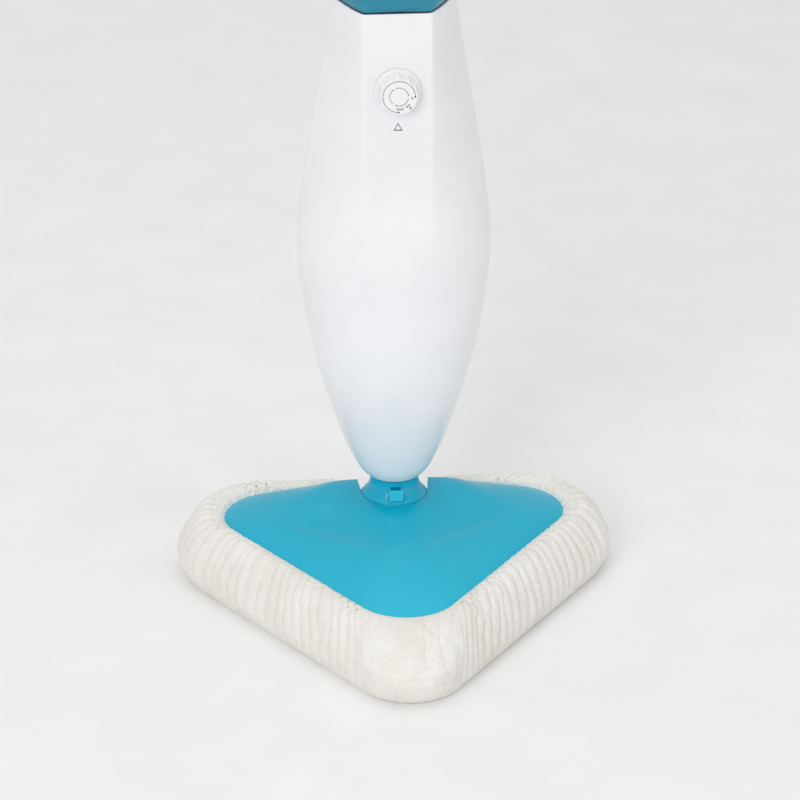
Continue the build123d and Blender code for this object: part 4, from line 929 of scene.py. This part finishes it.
# %% Simulate the wall
def buckle(piece, held, frames=14, growth=-0.05, reach=3.2):
    """Runs a short cloth simulation and keeps its result as the piece's mesh."""
    group = piece.vertex_groups.new(name="held")
    for index, weight in enumerate(held):
        group.add([index], float(weight), "REPLACE")
    cloth = modifier(piece, "CLOTH")
    settings = cloth.settings
    settings.quality = 5
    settings.mass = 0.25
    settings.tension_stiffness = settings.compression_stiffness = 12
    settings.shear_stiffness = 6
    settings.bending_stiffness = 0.4
    settings.shrink_min = growth
    settings.vertex_group_mass = "held"
    settings.pin_stiffness = 1.0
    settings.effector_weights.gravity = 0.0
    cloth.collision_settings.use_collision = False
    cloth.point_cache.frame_start, cloth.point_cache.frame_end = 1, frames
    before = np.array([vertex.co for vertex in piece.data.vertices])
    for step in range(1, frames + 1):
        bpy.context.scene.frame_set(step)
    settle(piece)
    piece.vertex_groups.clear()
    after = np.array([vertex.co for vertex in piece.data.vertices])
    move = after - before
    length = np.linalg.norm(move, axis=1, keepdims=True)
    move *= np.minimum(1, reach * mm / np.maximum(length, 1e-9))
    piece.data.vertices.foreach_set("co", (before + move).ravel())
    bpy.context.scene.frame_set(1)
    mean_move, most_move = float(length.mean()) / mm, float(length.max()) / mm
    print(f"cloth moved {mean_move:.2f} mm on average, {most_move:.2f} at most")


buckle(pad, 1 - np.concatenate(freedom))
modifier(pad, "SOLIDIFY", thickness=3.0 * mm, offset=-1.0)
modifier(pad, "SUBSURF", levels=1, render_levels=1)
settle(pad)
present(pad, "pad_cloth", "head", "mop_pad", sharp=180.0)

# %% [markdown]
# ## The water tank
# The tank is clear blue and carries the body's taper upwards. It stands round the pole, so it
# has a channel at its rear, and it is hollow, because light passes through both of its walls.
# Its top edge is well rounded.


# %% Build the tank
pole_low, pole_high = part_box("lower_pole")
pole_y = (pole_low.y + pole_high.y) / 2 / mm
pole_r = (pole_high.x - pole_low.x) / 2 / mm
tank_foot = body_high + 1.0
tank_top = tank_foot + 150.0


def tank_block(inset, floor, ceiling):
    """The tank's outer form as a closed skin, drawn in by a wall."""
    angle, start = body_cut(body_high)
    start = start - 0.5
    oval = polar_cut(angle, 27.0, 22.5, 30.0, 0.8, 0.6)
    rows = []
    foot_shares, rim_shares = [0.0, 0.004, 0.012], 1 - 0.08 * (1 - np.linspace(0, 1, 12)) ** 1.6
    for share in np.concatenate([foot_shares, np.linspace(0.03, 0.92, 30), rim_shares]):
        ease = share * (1.25 - 0.25 * share)
        radii = start + (oval - start) * ease - inset
        edge = math.sqrt(max(1 - max(0.0, (share - 0.95) / 0.05) ** 2, 0.0))
        radii = radii - 7.0 * (1 - edge) - (1.2 - share * 100) * (share < 0.012)
        height = floor + (ceiling - floor) * share
        level = np.full(len(angle), height)
        rows.append(np.stack([radii * np.sin(angle), -radii * np.cos(angle), level], axis=1)[::3])
    return skin("tank_block", np.array(rows) * mm, cap_start=True, cap_end=True)


def upright_tube(name, x, y, low, high, radius, count=48):
    """A round bar along Z, with its places and sizes in millimetres."""
    return tube(name, (x * mm, y * mm, low * mm), (x * mm, y * mm, high * mm), radius * mm, count)


def channel(radius):
    """The space round the pole, open to the rear."""
    turn = np.linspace(-math.pi, 0, 32)
    arc = [(radius * math.cos(a), pole_y + radius * math.sin(a)) for a in turn]
    outline = [(-radius, 80.0)] + arc + [(radius, 80.0)]
    rows = [[(x, y, z) for x, y in outline] for z in (tank_foot - 8, tank_top + 8)]
    return skin("channel", np.array(rows) * mm, cap_start=True, cap_end=True)


tank_wall, channel_r = 2.2, pole_r + 4.2
inner_block = tank_block(tank_wall, tank_foot + tank_wall, tank_top - tank_wall)
hollow = carve(inner_block, channel(channel_r + tank_wall))
tank = carve(tank_block(0.0, tank_foot, tank_top), channel(channel_r), hollow)
tank.name = "clear_tank"
filler_y = -11.5
neck_wall = upright_tube("filler", 0, filler_y, tank_top - 3, tank_top + 9, 7.5)
bore = upright_tube("bore", 0, filler_y, tank_top - 6, tank_top + 12, 6.0)
carve(tank, neck_wall, operation="UNION")
carve(tank, bore)
spout_x, spout_y = -22.0, -8.0
spout = upright_tube("spout", spout_x, spout_y, tank_foot - 6.4, tank_foot + 1, 6)
drain = upright_tube("drain", spout_x, spout_y, tank_foot - 9, tank_foot + 6, 3)
carve(tank, spout, operation="UNION")
carve(tank, drain)
present(tank, "clear_blue", "tank", "water_tank")

# %% [markdown]
# ## The handle
# The handle is a closed loop in two mouldings that meet on the middle plane and clamp the
# top of the pole. Its bar is an oval that a hand closes round. The loop is a sweep: the oval
# carried round a path of two half circles and two straight runs. The foot is a short tube
# round the pole, melted into the loop by remeshing both as one skin and smoothing it.

# %% The loop's path and section
left_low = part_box("handle_left")[0]
pole_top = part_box("upper_pole")[1].z / mm
loop_z = pole_top + 60.0
loop_depth, loop_height, bar_depth, bar_half = 42.0, 58.0, 16.0, 13.0


def loop_path(inset, count=160):
    """Points and outward directions of the loop, drawn in from its outer edge."""
    radius = loop_depth - inset
    straight = loop_height - loop_depth
    turn = np.linspace(0, 2 * math.pi, count, endpoint=False)
    ways = np.stack([np.cos(turn), np.sin(turn)], axis=1)
    points = ways * radius
    points[:, 1] += np.where(np.sin(turn) > 1e-9, straight, np.where(np.sin(turn) < -1e-9, -straight, 0))
    return points, ways


def loop_sweep(name, profile, inset=bar_depth / 2):
    """Carries a profile of (across, outwards) points round the loop."""
    points, ways = loop_path(inset)
    rows = []
    for across, outwards in profile:
        flat = points + ways * outwards
        rows.append([(across, pole_y + y, loop_z + z) for y, z in flat])
    rows.append(rows[0])
    return skin(name, np.array(rows) * mm)


def oval_profile(half_w, half_t, power=2.6, count=36):
    turn = np.linspace(0, 2 * math.pi, count, endpoint=False)
    return [
        (
            half_w * math.copysign(abs(math.cos(a)) ** (2 / power), math.cos(a)),
            half_t * math.copysign(abs(math.sin(a)) ** (2 / power), math.sin(a)),
        )
        for a in turn
    ]


# %% Build and split the handle
loop = loop_sweep("handle_loop", oval_profile(bar_half, bar_depth / 2))
collar_r, foot_low = pole_r + 4.2, left_low.z / mm
foot = upright_tube("foot", 0, pole_y, foot_low, loop_z - loop_height + 10, collar_r, 64)
with bpy.context.temp_override(active_object=loop, selected_editable_objects=[loop, foot]):
    bpy.ops.object.join()
modifier(loop, "REMESH", mode="VOXEL", voxel_size=1.3 * mm)
modifier(loop, "SMOOTH", factor=0.5, iterations=8)
settle(loop)
bore = tube("bore", (0, pole_y * mm, 0.9), (0, pole_y * mm, (pole_top + 0.5) * mm), (pole_r + 0.05) * mm, 64)
carve(loop, bore)
for side, name, stands_for in ((-1, "left_handle", "handle_left"), (1, "right_handle", "handle_right")):
    half = bpy.data.objects.new(name, loop.data.copy())
    bpy.context.scene.collection.objects.link(half)
    near, far = sorted((side * 0.0001, side * 0.05))
    block = [(near, -0.2, 0.9), (far, -0.2, 0.9), (far, 0.2, 0.9), (near, 0.2, 0.9)]
    keep = skin("keep", [block, [(x, y, 1.4) for x, y, _ in block]], cap_start=True, cap_end=True)
    carve(half, keep, operation="INTERSECT")
    if side > 0:
        well_y, well_z = loop_depth - bar_depth / 2, loop_height - bar_depth / 2
        for away, rise in ((-well_y, 0), (well_y, 0), (0, well_z)):
            y, z = (pole_y + away) * mm, (loop_z + rise) * mm
            carve(half, tube("well", (6 * mm, y, z), (30 * mm, y, z), 3.1 * mm))
    present(half, "white_gloss", "upright", stands_for, sharp=45.0)
bpy.data.objects.remove(loop)

# %% [markdown]
# ## The grip
# A strip of soft rubber is bonded over the top and back of the loop, where the palm rests.
# It follows the oval a little proud of it, has raised cross ribs, and thins out at its ends.

# %% Build the grip
grip_points, grip_ways = loop_path(bar_depth / 2, 720)
inner_arc = np.linspace(-0.95, 0.95, 15)
grip_rows_list = []
for index in range(-14, 375):
    point, way = grip_points[index % 720], grip_ways[index % 720]
    end = smooth_step(min(index + 14, 374 - index), 0, 14)
    rib = max(0.0, math.cos(index * math.pi / 12)) ** 4 * smooth_step(min(index - 30, 330 - index), 0, 10)
    row = []
    for layer, order in ((1, inner_arc), (0, inner_arc[::-1])):
        for across in order:
            lift = layer * (0.35 + 1.1 * end + 0.7 * rib) * (1 - abs(across) ** 6) ** 0.5 - 0.4 * (1 - layer)
            outwards = (bar_depth / 2) * (1 - abs(across * 0.78) ** 2.6) ** (1 / 2.6) + lift
            flat = point + way * outwards
            row.append((across * 0.78 * bar_half, pole_y + flat[0], loop_z + flat[1]))
    grip_rows_list.append(row)
grip = skin("soft_grip", np.array(grip_rows_list) * mm, cap_start=True, cap_end=True)
present(grip, "dark_rubber", "upright", "grip_pad", sharp=60.0)

# %% [markdown]
# ## Floor and light
# The mop stands on a plain pale floor. The light is a soft studio: a large panel on the left,
# a smaller, weaker one on the right, one overhead and an even pale surround, so the white body
# stays white with only a gentle fall of tone to its right side.

# %% Floor and lights
floor_reach = 14.0
floor_mesh = bpy.data.meshes.new("floor")
floor_corners = [(x * floor_reach, y * floor_reach, 0) for x, y in ((-1, -1), (1, -1), (1, 1), (-1, 1))]
floor_mesh.from_pydata(floor_corners, [], [(0, 1, 2, 3)])
floor = bpy.data.objects.new("floor", floor_mesh)
bpy.context.scene.collection.objects.link(floor)
floor_paint = moulded("floor_paint", rgb(246, 246, 246), rgb(242, 242, 242), (0.7, 0.8), 200, 0.00001)
floor_mesh.materials.append(floor_paint)


def panel(name, place, aim, size, power):
    data = bpy.data.lights.new(name, "AREA")
    data.shape, data.size, data.size_y, data.energy = "RECTANGLE", size[0], size[1], power
    light = bpy.data.objects.new(name, data)
    light.location = place
    light.rotation_euler = (Vector(aim) - Vector(place)).to_track_quat("-Z", "Y").to_euler()
    bpy.context.scene.collection.objects.link(light)


panel("key", (-1.3, -2.9, 1.9), (0, 0, 0.25), (1.6, 2.0), 40)
panel("fill", (2.4, -2.4, 0.9), (0, 0, 0.2), (1.6, 1.2), 9)
panel("overhead", (0, 0.4, 3.2), (0, 0, 0), (3.0, 3.0), 30)
world = bpy.data.worlds.new("surround")
world.use_nodes = True
world.node_tree.nodes["Background"].inputs[0].default_value = (1, 1, 1, 1)
world.node_tree.nodes["Background"].inputs[1].default_value = 0.56
bpy.context.scene.world = world
bpy.context.scene.view_settings.view_transform = "Standard"
